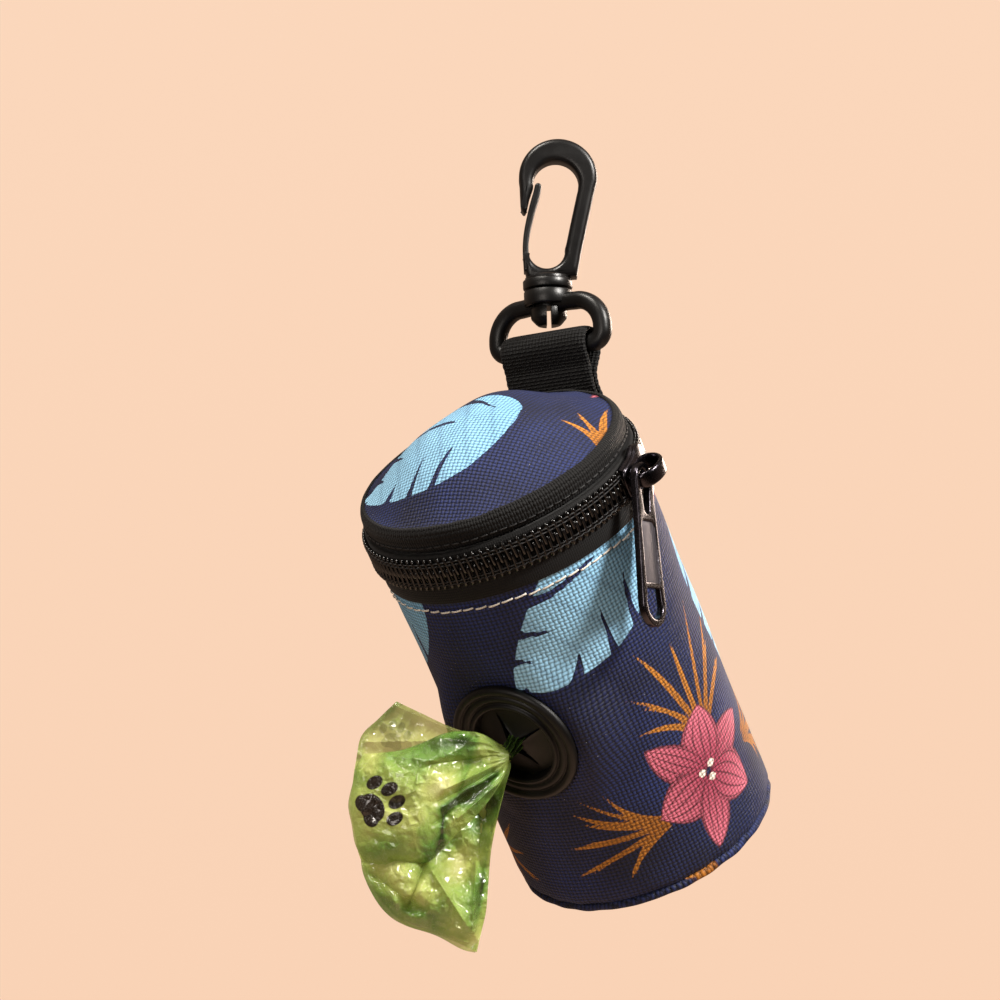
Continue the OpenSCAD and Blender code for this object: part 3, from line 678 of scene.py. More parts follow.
def blossom(x, y, radius, turn):
    """Six petals, long narrow ones and short wide ones by turns, round three cream dots."""
    shapes = []
    for k in range(6):
        a = math.radians(turn + 60 * k)
        short = k % 2
        tip = polar(x, y, radius * (1.0 - 0.16 * short), a)
        half = radius * (0.24 + 0.09 * short)
        shapes.append(leaf("coral", polar(x, y, 0.6, a), tip, half, 0.5, 0.8, 0.95))
    for k in range(3):
        dot_x, dot_y = polar(x, y, 1.5, math.radians(turn + 30 + 120 * k))
        shapes.append(leaf("cream", (dot_x - 0.8, dot_y), (dot_x + 0.8, dot_y), 0.75, 0.0, 0.5, 0.5))
    return shapes


def spray(x, y, turn, spread, count, length):
    """A fan of long thin blades from one root, the middle ones longest."""
    blades = []
    for k in range(count):
        side = 2 * k / (count - 1) - 1
        a = math.radians(turn + spread * side + 5 * math.sin(3 * k + x))
        reach = length * (1 - 0.3 * side * side) * (0.88 + 0.12 * math.sin(5 * k + y))
        half = 0.5 + 0.12 * math.sin(2 * k + x)
        root, tip = polar(x, y, 1.2, a), polar(x, y, reach, a)
        blades.append(leaf("orange", root, tip, half, -1.8 * side, 0.4, 0.7))
    return blades


# Where the shapes lie: round the wall and up, on the lid flattened out, and on the base seen from below
WALL_PRINT = [
    leaf("blue", (38, 2), (5, -25), 10.5, 3.0, tears=4),
    leaf("blue", (66, -8), (53, -46), 9.5, -2.0, tears=4),
    leaf("blue", (-9, -2), (-32, -27), 9.0, -1.5, tears=4),
    leaf("blue", (-38, -74), (-46, -42), 9.0, 1.5, tears=4),
    leaf("blue", (-63, -3), (-74, -40), 9.0, 1.5, tears=4),
    *spray(34, -50, 84, 60, 13, 26),
    *spray(22, -60, 178, 42, 10, 23),
    *spray(44, -58, -10, 50, 9, 19),
    *spray(-19, -44, 118, 55, 12, 22),
    *spray(-26, -66, 20, 44, 9, 19),
    *spray(-56, -46, 250, 50, 11, 22),
    *spray(70, -34, 80, 50, 11, 21),
    *blossom(31.5, -56, 15.0, 14),
    *blossom(-36, -34, 11.0, 40),
    *blossom(71, -60, 11.0, 20),
    *blossom(51, -5, 6.4, 50),
]
LID_PRINT = [
    leaf("blue", (9, 3), (-23, -12), 11.5, 2.5, 0.5, 0.75, tears=4),
    *spray(27, -2, 118, 34, 7, 18),
    *spray(-4, 26, 200, 40, 9, 16),
    *blossom(16, 27, 8.0, 15),
]
BASE_PRINT = [
    leaf("blue", (-4, 16), (-16, -8), 6.6, 2.0, tears=5),
    *spray(4, 4, 30, 50, 8, 21),
    *blossom(4, -14, 11.0, 0),
    *spray(22, -12, 240, 40, 6, 16),
]


def print_fields(x, y, prints):
    """For each ink, the distance inside its nearest edge, and the place across and along that shape."""
    fields = {ink: vectors(-9.0 + 0 * x, 0, 0) for ink in ("blue", "orange", "coral", "cream")}
    for shape in prints:
        base, tip = np.array(shape["base"], float), np.array(shape["tip"], float)
        length = math.hypot(*(tip - base))
        ahead = (tip - base) / length
        from_x, from_y = x - base[0], y - base[1]
        along = (from_x * ahead[0] + from_y * ahead[1]) / length
        t = np.clip(along, 1e-3, 1 - 1e-3)
        across = from_y * ahead[0] - from_x * ahead[1] - shape["bend"] * 4 * t * (1 - t)
        peak = shape["low"] / (shape["low"] + shape["high"])
        full = peak ** shape["low"] * (1 - peak) ** shape["high"]
        width = shape["half"] * t ** shape["low"] * (1 - t) ** shape["high"] / full
        away = np.abs(across)
        if shape["tears"]:
            # a tear sweeps back from the rim to near the midrib, and narrows on the way in
            side = np.sign(across)
            uneven = 0.25 * side + 0.2 * np.sin(9 * t + side)
            swept = t * shape["tears"] - 1.2 * away / shape["half"] + uneven
            midrib = 0.2 + 0.12 * np.sin(17 * t + 2 * side)
            reach = np.clip((away / np.maximum(width, 0.5) - midrib) * 2.2, 0, 1)
            tear = 1 - np.abs(swept - np.round(swept)) / (0.04 + 0.1 * reach)
            width = width - ease(tear * 2) * ease(reach * 3) * (width - away * 0.8)
        edge = np.minimum(width - away, np.minimum(along, 1 - along) * length * 1.2 + 0.2)
        field = fields[shape["ink"]]
        better = (edge > field[..., 0]) | ((edge > 0) & (shape["ink"] == "coral"))
        field[better] = vectors(edge, np.clip(across / np.maximum(width, 0.3), -1.4, 1.4), t)[better]
    return {ink: np.clip(f, -3, 9) for ink, f in fields.items()}


# ---- Pouch ----
def pull_flat(points):
    """Draws cloth at the front flat under the dispensing ring, as the stiff ring does. Returns the points
    and their distances from the ring's axis."""
    flat_y, blend_width = -24.75, 7.5
    away = np.hypot(points[..., 0], points[..., 2] + RING_DROP)
    near = (1 - ease((away - RING_R - 0.1) / blend_width)) * (points[..., 1] < 0)
    points[..., 1] += near * (flat_y - points[..., 1])
    return points, away


def seam_puckers(angle):
    """How far the stitches of the base seam gather the cloth: many small puckers on a few broad ones."""
    return waves(angle, 11, 9, 34) * 0.75 + waves(angle, 5, 2, 6) * 0.35


def with_hole(shape, gone):
    """Faces of a grid, without those that touch a point marked as gone."""
    faces = np.array(grid_faces(*shape))
    return faces[~gone.ravel()[faces].any(1)].tolist()


def build_wall():
    """The printed cloth of the wall. It rounds in to the turned base seam, where the stitches gather it."""
    cloth_hole, foam_hole, foam_depth = 8.9, 9.7, 0.72
    angle = np.radians(np.linspace(-180, 180, 341))
    height = np.concatenate([np.linspace(WALL_TOP + 0.2, -66, 124), np.linspace(-66.4, -72.75, 26)])
    a, z = np.meshgrid(angle, height)
    low = ease((-67.0 - z) / 5.75)
    round_in = 0.85 * (np.clip(-70.9 - z, 0, 3) / 1.85) ** 2
    slack = 0.16 * waves(a, 21, 2, 7) * np.sin((z + 5) / 68 * np.pi)
    slack += 0.1 * np.sin(z * 0.23 + 3 * np.sin(a * 2))
    bulge = 0.2 * np.exp(-((z + 69.5) / 3.0) ** 2)
    r = POUCH_R + 0.02 - round_in + np.maximum(slack, -0.16) * ease((-7 - z) / 8)
    r += 0.24 * low * seam_puckers(a) + bulge
    points, away = pull_flat(around(r, a, z + 0.18 * low * seam_puckers(a + 0.1)))
    fields = {"cloth": vectors(POUCH_R * a, z, 0), **print_fields(POUCH_R * a, z, WALL_PRINT)}
    faces = with_hole(a.shape, (away < cloth_hole) & (points[..., 1] < 0))
    wall = make_piece("pouch_cloth", points, inside_out(faces), POUCH, OXFORD, fields)
    fit(with_thickness(wall, 0.3), "pouch", "printed_cloth", "pouch_shell")
    a, z = np.meshgrid(angle, np.linspace(WALL_TOP - 0.2, -72.4, 90))
    round_in = 0.85 * (np.clip(-70.3 - z, 0, 3) / 1.85) ** 2
    points = around(POUCH_R - foam_depth - round_in, a, z)
    away = np.hypot(points[..., 0], z + RING_DROP)
    faces = with_hole(a.shape, (away < foam_hole) & (points[..., 1] < 0))
    foam = make_piece("pouch_padding", points, inside_out(faces), POUCH, FOAM)
    fit(with_thickness(foam, 1.3), "pouch", "foam", "pouch_foam")


def build_base():
    """The printed base cloth. Its turned edge bulges below the seam in small gathers."""
    profile, _ = smooth_path([
        (0, -73.9), (4, -73.9), (8, -73.88), (12, -73.85), (16, -73.8), (19.5, -73.75), (22, -73.85),
        (23.4, -73.95), (24.2, -73.85), (24.62, -73.5), (24.6, -73.15), (24.25, -72.85), (23.6, -72.7)], 90)
    a = np.radians(np.linspace(-180, 180, 341))
    r, z = profile.T[:, :, None]
    edge = ease((r - 17) / 7)
    r = r + 0.22 * edge * seam_puckers(a)
    z = z + 0.3 * edge * seam_puckers(a + 0.05) + 0.35 * (1 - edge) * waves(a, 3, 2, 5) * (r / 20)
    points = around(r, a, z)
    x, y = points[..., 0], points[..., 1]
    fields = {"cloth": vectors(x, y, 0), **print_fields(x, y, BASE_PRINT)}
    base = make_piece("base_cloth", points, grid_faces(*r.shape), POUCH, OXFORD, fields)
    return fit(with_thickness(base, -0.35), "pouch", "printed_cloth", "base_disc")


def band(name, profile, finish, start=-180.0, end=180.0, steps=181, ripple=0.0, seed=1, rippled=None):
    """A ribbon of cloth turned about the pouch's axis, from a closed profile of (radius, height). Its ripple
    is the height of its waves, which may grow from none to full between two heights."""
    profile = np.asarray(profile, float)
    run = np.concatenate([[0], np.cumsum(np.hypot(*np.diff(profile, axis=0).T))])
    points = turned(profile, start, end, steps)
    angle = np.radians(np.linspace(start, end, steps))[:, None]
    if ripple:
        lift = ripple * waves(angle, seed, 6, 30)
        if rippled:
            low, high = rippled
            lift = lift * ease((profile[:, 1] - low) / (high - low))
        points[..., 2] += lift
    cloth = vectors(profile[:, 0].mean() * angle, run, 0)
    if end - start < CIRCLE:
        faces = tube_faces(steps, len(profile))
    else:
        faces = grid_faces(steps, len(profile), round_columns=True)
    return make_piece(name, points, faces, POUCH, finish, {"cloth": cloth})


def box_profile(r0, r1, z0, z1):
    """The closed profile of a flat upright layer with softened corners."""
    edge = 0.08
    return [(r0, z0 + edge), (r0, z1 - edge), (r0 + edge, z1), (r1 - edge, z1), (r1, z1 - edge),
            (r1, (z0 + z1) / 2), (r1, z0 + edge), (r1 - edge, z0), (r0 + edge, z0)]


def lid_profile(radius, rise, base=DOME_Z):
    """A layer of the lid from its lower edge up to its crown: upright, then a soft cone of that rise."""
    shape = np.array([
        (1, 0), (0.93, 0.067), (0.846, 0.178), (0.785, 0.272), (0.722, 0.378), (0.64, 0.505), (0.556, 0.633),
        (0.455, 0.75), (0.353, 0.856), (0.26, 0.917), (0.166, 0.967), (0.083, 0.992), (0, 1)])
    return np.vstack([[(radius, 5.15), (radius, 6.4)], shape * (radius, rise) + (0, base)])


def build_linings():
    """What shows inside the open pouch: both linings, the bound mouth and the taped seams."""
    wall = box_profile(22.4, 22.88, BASE_Z + 0.8, WALL_TOP)
    fit(band("pouch_inside", wall, LINING), "pouch", "lining", "pouch_lining")
    mouth = [(22.05, -6.6), (22.05, -5.0), (22.3, -4.72), (23.2, -4.62), (24.3, -4.66), (24.9, -4.9),
             (24.95, -5.6), (24.5, -5.6), (24.3, -5.06), (22.6, -5.06), (22.5, -6.6)]
    fit(band("mouth_binding", mouth, RIBBON, ripple=0.04), "pouch", "binding")
    seam = [(21.85, BASE_Z + 2.2), (21.8, BASE_Z + 4.2), (21.85, BASE_Z + 6.4), (22.3, BASE_Z + 6.4),
            (22.3, BASE_Z + 2.2)]
    fit(band("base_tape", seam, RIBBON), "pouch", "binding", "base_seam_tape")
    back = box_profile(21.85, 22.33, BASE_Z + 6.7, WALL_TOP - 1.2)
    fit(band("back_tape", back, RIBBON, 171, 189, 13), "pouch", "binding", "back_seam_tape")
    layer = [(0, 0), (6, 0), (12, 0), (18, 0), (22.2, 0), (22.3, 0.15), (22.2, 0.3), (12, 0.3), (0, 0.3)]
    disc = turned(layer, steps=97) + np.array((0, 0, BASE_Z + 1.72))
    base = make_piece("base_inside", disc, grid_faces(*disc.shape[:2]), POUCH, LINING, {"cloth": disc})
    fit(base, "pouch", "lining", "base_lining")
    lining_base = 6.85
    inner = lid_profile(21.65, 6.75, lining_base)
    outer = lid_profile(22.0, 7.1, lining_base)
    shell = turned(np.vstack([inner, outer[::-1]]), steps=121)
    flat = {"cloth": shell * np.array((1, 1, 0))}
    lid = make_piece("lid_inside", shell, grid_faces(*shell.shape[:2]), POUCH, LINING, flat)
    fit(lid, "lid", "lining", "lid_lining")


# ---- Lid ----
def build_lid():
    """The puffed top: printed cloth drawn over foam, slacker towards the front, pulled up at the strap."""
    profile, run = smooth_path(lid_profile(LID_R, LID_RISE - DOME_Z)[::-1], 72)
    a = np.radians(np.linspace(-180, 180, 301))
    r, z = profile.T[:, :, None]
    soft = np.sin(np.clip(r / 24, 0, 1) * np.pi)
    z = z + 0.22 * soft * waves(a, 8, 2, 6) + 0.1 * ease((r - 16) / 6) * waves(a, 14, 8, 26)
    z = z + 1.1 * np.exp(-((np.abs(a) - np.pi) ** 2) / 0.45 - ((r - 11) / 6.5) ** 2)
    points = around(r, a, z)
    flat = around(run[:, None], a, 0)
    fields = {"cloth": flat, **print_fields(flat[..., 0], flat[..., 1], LID_PRINT)}
    faces = inside_out(grid_faces(*points.shape[:2]))
    lid = make_piece("lid_cloth", points, faces, POUCH, OXFORD, fields)
    fit(with_thickness(lid, 0.3), "lid", "printed_cloth", "lid_shell")
    foam_depth = 0.7
    padding = turned(lid_profile(LID_R - foam_depth, LID_RISE - DOME_Z - foam_depth), steps=121)
    faces = inside_out(grid_faces(*padding.shape[:2]))
    foam = make_piece("lid_padding", padding, faces, POUCH, FOAM)
    fit(with_thickness(foam, 1.0), "lid", "foam", "lid_foam")
    edge = [(23.45, 7.85), (23.5, 8.2), (24.1, 8.1), (24.65, 7.5), (24.95, 6.5), (24.98, 5.5), (24.85, 4.6),
            (24.6, 3.85), (24.2, 3.47), (23.2, 3.42), (21.6, 3.45), (21.1, 3.8), (20.95, 5.0), (21.0, 6.2),
            (21.25, 6.7), (21.45, 6.4), (21.5, 5.1), (22.8, 4.75), (24.1, 5.0), (24.12, 7.2)]
    rim = band("lid_binding_cloth", edge, RIBBON, steps=361, ripple=0.1, seed=4, rippled=(7.2, 8.2))
    fit(with_subdivision(rim), "lid", "binding", "lid_binding")
    stitch_every, stitch_half = 4, 1.55
    paths = []
    for k in range(-44, 45):
        a = np.radians(k * stitch_every + np.linspace(-stitch_half, stitch_half, 7))
        r = 24.97 + 0.1 * np.cos(np.linspace(-1.5, 1.5, 7))
        paths.append(around(r, a, 4.75 + 0.06 * np.sin(k + a)))
    points, faces = threads(paths, 0.14, 6)
    stitches = make_piece("binding_thread", points, faces, POUCH, THREAD_BLACK)
    fit(stitches, "lid", "thread", "binding_stitches")


# ---- Zip ----
def coil_row(side, shift):
    """One row of the coil: a nylon strand in loops, whose heads pass between those of the other row."""
    step = math.degrees(TOOTH_PITCH / COIL_R)
    count = int((ZIP_REACH - 2) / step)
    turn = np.radians((np.arange(-count, count + 1) + shift) * step)[:, None]
    # along the chain, out from the pouch's axis, and across from the chain's middle
    along, out, across = np.array([
        (-0.34, 25.66, 1.5), (-0.36, 25.66, 2.3), (-0.3, 25.76, 2.72), (-0.16, 25.95, 2.78),
        (-0.06, 26.03, 2.5), (0.0, 26.04, 1.8), (0.05, 26.04, 1.0), (0.08, 26.04, 0.3), (0.1, 26.0, -0.28),
        (0.12, 25.9, -0.55), (0.14, 25.76, -0.45), (0.18, 25.68, 0.1), (0.26, 25.66, 0.9),
        (0.34, 25.66, 1.5)]).T
    thick = [0.22, 0.25, 0.29, 0.32, 0.32, 0.31, 0.3, 0.31, 0.33, 0.33, 0.31, 0.26, 0.24, 0.22]
    wander = 0.0018 * random.normal(size=turn.shape)
    paths = around(out, turn + along / COIL_R + wander, side * across)
    middle = around(1.0, turn[:, 0], 0.0)
    return threads(paths, thick, 7, middle, 0.92)


def coil_cord(side):
    """Two sewing threads that lie along the legs of a row and hold it to the tape."""
    a = np.radians(np.linspace(-ZIP_REACH + 1.5, ZIP_REACH - 1.5, 1200))
    parts = []
    for height, phase in ((1.55, 0.0), (2.15, 0.5)):
        beat = np.cos((a * COIL_R / TOOTH_PITCH + phase) * 2 * np.pi)
        path = around(26.2 + 0.08 * beat, a, side * (height + 0.05 * beat))
        parts.append(threads([path], 0.13, 6))
    return joined(*parts)


def zip_row(name, side, shift, body, coil_node, tape_node, tape_profile):
    """One side of the zip: its coil, the thread along it and its tape."""
    points, faces = coil_row(side, shift)
    fit(make_piece(name + "_teeth", points, faces, POUCH, NYLON), body, "coil", coil_node)
    points, faces = coil_cord(side)
    fit(make_piece(name + "_coil_thread", points, faces, POUCH, THREAD_BLACK), body, "thread")
    reach = ZIP_REACH + 1.4
    fit(band(name + "_tape_cloth", tape_profile, TAPE, -reach, reach, 261), body, "zip_tape", tape_node)


def build_zip():
    """The zip round the pouch, its cloth hinge at the back, its end stops and the stitches under it."""
    zip_row("upper", 1, 0.0, "lid", "upper_coil", "upper_tape", [
        (25.02, 0.45), (25.02, 3.1), (23.6, 3.12), (23.6, 3.4), (25.2, 3.42), (25.42, 3.3), (25.45, 2.4),
        (25.45, 1.2), (25.4, 0.45)])
    zip_row("lower", -1, 0.5, "pouch", "lower_coil", "lower_tape", [
        (25.02, -6.3), (25.02, -3.4), (25.02, -0.45), (25.4, -0.45), (25.45, -1.2), (25.47, -3.0),
        (25.5, -4.6), (25.46, -6.1), (25.36, -6.32)])
    panel, _ = smooth_path([
        (25.5, -6.3), (25.5, -3.4), (25.55, -1.0), (25.75, 0.0), (25.55, 1.0), (25.5, 3.3), (25.95, 3.3),
        (26.0, 1.2), (26.2, 0.0), (26.0, -1.2), (25.98, -3.4), (25.95, -6.2), (25.8, -6.35)], 60)
    hinge_start = ZIP_REACH + 2.1
    hinge = band("hinge_cloth", panel, TAPE, hinge_start, CIRCLE - hinge_start, 61)
    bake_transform(hinge)
    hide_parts("hinge_leaf_upper", "hinge_leaf_lower")
    clamp_r = np.array([25.6, 25.75, 26.25, 26.32, 26.25, 25.75, 25.6])
    clamp_z = np.array([0.75, 0.62, 0.66, 1.7, 2.7, 2.78, 2.6])
    stops = []
    for side in (-1, 1):
        for beside_middle in (-0.32, 0.32):
            a = math.radians(side * (ZIP_REACH - 0.6)) + beside_middle / 26
            stops.append(threads([around(clamp_r, a, clamp_z)], 0.33, 8))
    points, faces = joined(*stops)
    fit(make_piece("end_stops", points, faces, POUCH, NICKEL), "lid", "gunmetal", "zip_stops")
    stitch_every, stitch_half = 5.6, 2.35
    t = np.linspace(-1, 1, 9)
    paths = []
    for k in range(-26, 27):
        a = np.radians(k * stitch_every + stitch_half * t)
        r = 25.1 + 0.22 * np.sqrt(1 - 0.96 * t ** 2)
        paths.append(around(r, a, TOP_SEAM_Z + 0.12 * math.sin(k * 1.7) + 0.1 * t))
    points, faces = threads(paths, 0.17, 7)
    stitches = make_piece("cream_thread", points, faces, POUCH, THREAD_CREAM)
    fit(stitches, "pouch", "light_thread", "top_stitching")


# ---- Slider and pull ----
def rounded_slab(outline, top, bottom, edge, dome=0.0):
    """A slab with rounded edges over a plan: rings of points (x, height, z), closed at both middles."""
    outline = np.asarray(outline, float)
    count = len(outline)
    middle = outline.mean(0)
    spokes = outline - middle
    inward = spokes / np.linalg.norm(spokes, axis=1)[:, None] * edge
    corner = np.linspace(0, math.pi / 2, 6)
    rings = [(middle + spokes * s, top + dome * (1 - s * s)) for s in np.arange(1, 6) / 6]
    rings += [(outline - inward * (1 - math.sin(a)), top - edge * (1 - math.cos(a))) for a in corner]
    rings += [(outline - inward * (1 - math.cos(a)), bottom + edge * (1 - math.sin(a))) for a in corner]
    rings.append((middle + spokes * 0.5, bottom))
    points = np.vstack([vectors(plan[:, 0], height, plan[:, 1]) for plan, height in rings])
    faces = grid_faces(len(rings), count, round_columns=True)
    faces.append(list(range(count)))
    faces.append(list(range(len(points) - count, len(points)))[::-1])
    return points, faces


def onto_chain(points):
    """Bends slab points (along the chain, height above the pouch's axis, across) round the pouch."""
    slider_middle = 27.0
    return around(points[:, 1], points[:, 0] / slider_middle, points[:, 2])


def slider_flank(side):
    """A turned-down side of the slider, which runs between the plates' edges and down to the tape."""
    low = 25.75 if side > 0 else 25.9
    edge = [(-4.2, 2.95), (-2.6, 3.12), (-0.2, 3.4), (1.8, 3.92), (3.3, 3.98), (4.3, 3.4)]
    edge, _ = smooth_path(edge, 24)
    section = ((27.0, -0.1), (26.6, 0.1), (low + 0.15, 0.12), (low, 0.0), (low, -0.35), (low + 0.12, -0.45),
               (26.7, -0.42), (27.0, -0.35))
    points = [vectors(edge[:, 0], height, side * (edge[:, 1] + out)) for height, out in section]
    rows, columns = len(section), len(edge)
    faces = grid_faces(rows, columns, round_rows=True)
    faces.append([k * columns for k in range(rows)])
    faces.append([k * columns + columns - 1 for k in range(rows)][::-1])
    return np.vstack(points), faces


def build_slider():
    """Die-cast slider: a domed top plate, wide at its nose, with turned-down sides, and an inner plate."""
    half = np.array([(-5.0, 0), (-4.9, 1.6), (-4.3, 2.75), (-2.6, 3.2), (-0.2, 3.45), (1.8, 4.0),
                     (3.4, 4.05), (4.6, 3.3), (5.15, 1.9), (5.3, 0)])
    plan = np.vstack([half, (half * (1, -1))[-2:0:-1], half[:1]])
    plan = smooth_path(plan, 73)[0][:-1]
    post = [(2.5, -0.2), (4.7, -0.2), (4.7, 0.2), (2.5, 0.2)]
    slabs = [
        rounded_slab(plan, 27.45, 26.68, 0.36, dome=0.32),
        rounded_slab(plan * (0.9, 0.8), 24.62, 24.0, 0.2),
        slider_flank(-1),
        slider_flank(1),
        rounded_slab(post, 26.8, 24.4, 0.05),
    ]
    points, faces = joined(*[(onto_chain(slab), slab_faces) for slab, slab_faces in slabs])
    fit(soften(make_piece("slider", points, faces, SLIDER, NICKEL), 40), "slider", "gunmetal", "slider_body")
    build_bail()


def build_bail():
    """The slider's bridge: a flat strap that arches over the plate and thins out at its free end."""
    steps, sides, taper_from = 40, 28, 33
    spine, _ = smooth_path([
        (4.1, 27.0), (4.25, 27.9), (3.9, 29.3), (2.9, 30.5), (1.2, 31.25), (-0.7, 31.2), (-2.3, 30.5),
        (-3.35, 29.3), (-3.55, 28.3), (-3.2, 27.9)], steps)
    _, out = beside(spine)
    if (out * (spine - spine.mean(0))).sum() < 0:
        out = -out
    turn = np.linspace(0, 2 * np.pi, sides, endpoint=False)
    thick = 0.5 * np.cos(turn)
    wide = 1.45 * np.sign(np.sin(turn)) * np.abs(np.sin(turn)) ** 0.45
    swell = np.clip(1 - 0.1 * (np.arange(steps) - taper_from), None, 1.0)[:, None]
    x = spine[:, :1] + out[:, :1] * thick * (0.9 + 0.1 * swell)
    height = spine[:, 1:] + out[:, 1:] * thick
    points = vectors(x, -height, wide * swell ** 0.5)
    bail = make_piece("bail", points, tube_faces(steps, sides), SLIDER, NICKEL)
    fit(soften(bail, 50), "slider", "gunmetal", "slider_bail")


def shouldered(half, y, radius, foot):
    """A plan with two round shoulders at height y and straight sides down to its foot."""
    return np.vstack([arc_points((half, y), radius, 0, 90, 7), arc_points((-half, y), radius, 90, 180, 7),
                      [(-foot[0], foot[1]), foot]])


def build_pull():
    """Die-cast pull: a bevelled frame with a long eye, a cord slot and a sunk, satin panel."""
    low = -PULL_LEN + 7.05
    outline = np.vstack([arc_points((0, 0), 2.95, 0, 180, 24), [(-3.05, -4.0), (-3.3, -9.0)],
                         arc_points((0, low), 4.1, 180, 360, 32), [(3.3, -9.0), (3.05, -4.0)]])
    eye = np.vstack([arc_points((0, 0), 1.75, -12, 192, 18), arc_points((0, -5.0), 1.05, 200, 340, 12)])
    slot = np.vstack([[(2.55, 2.5 + low), (-2.55, 2.5 + low)], arc_points((0, low), 2.8, 182, 358, 24)])
    window = shouldered(1.45, -8.3, 0.95, (2.55, 3.5 + low))
    points, faces = moulded_plate(outline, [eye[::-1], slot[::-1], window[::-1]], 1.4, 0.32, 4)
    fit(soften(make_piece("pull", points, faces, PULL, NICKEL), 40), "pull", "gunmetal", "zip_pull")
    panel = shouldered(1.5, -8.3, 1.2, (2.75, 3.4 + low))
    points, faces = moulded_plate(panel, [], 0.7, 0.05, 1)
    fit(soften(make_piece("pull_panel", points, faces, PULL, NICKEL_PANEL), 40), "pull", "gunmetal")


# ---- Hook, gate and eye ----
def hook_barb(side):
    """Half of the barb under the hook's stem, which snaps through the eye's boss. A slit parts them."""
    slit = 0.45
    rings = []
    for z, r in ((7.78, 3.0), (7.72, 3.25), (7.5, 3.35), (5.95, 3.35), (5.6, 3.25), (4.7, 2.45), (4.4, 2.1),
                 (4.3, 1.8)):
        reach = math.degrees(math.acos(slit / r))
        arc = arc_points((0, 0), r, -reach, reach, 20)
        corner = arc[-1, 1]
        x, y = np.vstack([arc, [(slit, corner * 0.4), (slit, 0.0), (slit, -corner * 0.4)]]).T
        rings.append(vectors(side * x, side * y, z))
    rows, columns = len(rings), len(rings[0])
    faces = grid_faces(rows, columns, round_columns=True)
    faces.append(list(range(columns)))
    faces.append(list(range((rows - 1) * columns, rows * columns))[::-1])
    return np.vstack(rings), faces


def build_hook():
    """One acetal moulding with softly rounded edges: bow, spine, nose and round lower inside."""
    outline = np.vstack([
        [(5.5, 13.2), (5.85, 14.9), (6.5, 17.9), (8.35, 25.3), (9.5, 29.8)],
        arc_points((2.7, 32.3), 7.3, -10, 189, 56),
        [(-4.5, 29.3), (-4.48, 27.6), (-4.4, 26.5), (-4.2, 25.9), (-3.88, 25.65), (-3.6, 25.8),
         (-3.35, 26.4), (-2.78, 28.6), (-2.3, 29.9)],
        arc_points((2.25, 31.05), 4.25, 184, 0, 36),
        [(6.3, 29.7), (5.95, 28.4), (4.6, 23.1), (3.75, 19.6)],
        arc_points((0.05, 18.4), 3.4, 4, -168, 30),
        [(-3.4, 18.5), (-3.75, 18.7), (-4.15, 18.4), (-4.38, 17.5), (-4.25, 15.7), (-3.85, 13.2)],
    ])
    bow, bow_faces = moulded_plate(outline, [], 4.6, 1.15, 5)
    collar = turned([
        (0.0, 13.9), (3.4, 13.85), (3.85, 13.7), (4.15, 13.45), (4.2, 13.05), (4.48, 12.95), (4.6, 12.8),
        (4.6, 11.45), (4.52, 11.3), (4.3, 11.25), (2.5, 11.25), (2.5, 7.7), (0.0, 7.7)], steps=73)
    collar_faces = grid_faces(*collar.shape[:2])
    points, faces = joined((standing(bow), bow_faces), (collar, collar_faces), hook_barb(-1), hook_barb(1))
    fit(soften(make_piece("hook", points, faces, BAR, ACETAL), 42), "hook", "acetal", "hook_body")


def build_gate():
    """The springy tongue of the hook. It bends at its root and closes against the inside of the nose."""
    steps = 30
    line, _ = smooth_path([
        (-3.8, 14.6), (-3.82, 16.5), (-3.84, 18.3), (-3.75, 20.3), (-3.38, 22.5), (-2.78, 24.9),
        (-2.12, 27.2), (-1.45, 29.2), (-1.1, 30.6)], steps)
    half = [0.5, 0.53, 0.55, 0.56, 0.58, 0.6, 0.62, 0.65, 0.62]
    width = np.interp(np.linspace(0, 1, steps), np.linspace(0, 1, len(half)), half)
    along, side = beside(line)
    left, right = line + side * width[:, None], line - side * width[:, None]
    angle = math.degrees(math.atan2(along[-1, 1], along[-1, 0]))
    tip = arc_points(line[-1], width[-1], angle + 80, angle - 80, 9)
    plate, faces = moulded_plate(np.vstack([left, tip, right[::-1]]), [], 4.0, 0.45, 4)
    gate = soften(make_piece("gate", standing(plate), faces, BAR, ACETAL), 42)
    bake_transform(gate)
    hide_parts("hook_gate")


def build_eye():
    """The D-eye: a round boss that turns on the hook's stem, and a bar with softened corners."""
    steps, sides, power = 150, 24, 0.85
    right = np.vstack([
        [(2.0, 8.4), (4.2, 8.42), (5.8, 8.32)], arc_points((6.0, 2.75), 5.6, 80, 6, 14), [(11.6, 2.4)],
        arc_points((9.4, 2.2), 2.2, -8, -90, 7), [(6, 0), (0, 0)]])
    loop = np.vstack([right, (right * (-1, 1))[-2::-1]])
    line, _ = smooth_path(loop, steps)
    _, left = beside(line)
    turn = np.linspace(0, 2 * np.pi, sides, endpoint=False)
    a = 1.66 * np.sign(np.cos(turn)) * np.abs(np.cos(turn)) ** power
    b = 1.68 * np.sign(np.sin(turn)) * np.abs(np.sin(turn)) ** power
    bar = vectors(line[:, :1] - left[:, :1] * a, b, line[:, 1:] - left[:, 1:] * a)
    boss = turned([
        (2.6, 10.95), (3.9, 11.0), (4.35, 10.9), (4.5, 10.7), (4.5, 8.4), (4.38, 8.2), (4.15, 8.1),
        (3.7, 8.1), (3.66, 8.2), (3.66, 8.7), (2.62, 8.75), (2.6, 10.95)], steps=73)
    points, faces = joined((bar, tube_faces(steps, sides)), (boss, grid_faces(*boss.shape[:2])))
    fit(soften(make_piece("swivel", points, faces, EYE, ACETAL), 42), "eye", "acetal", "swivel_eye")


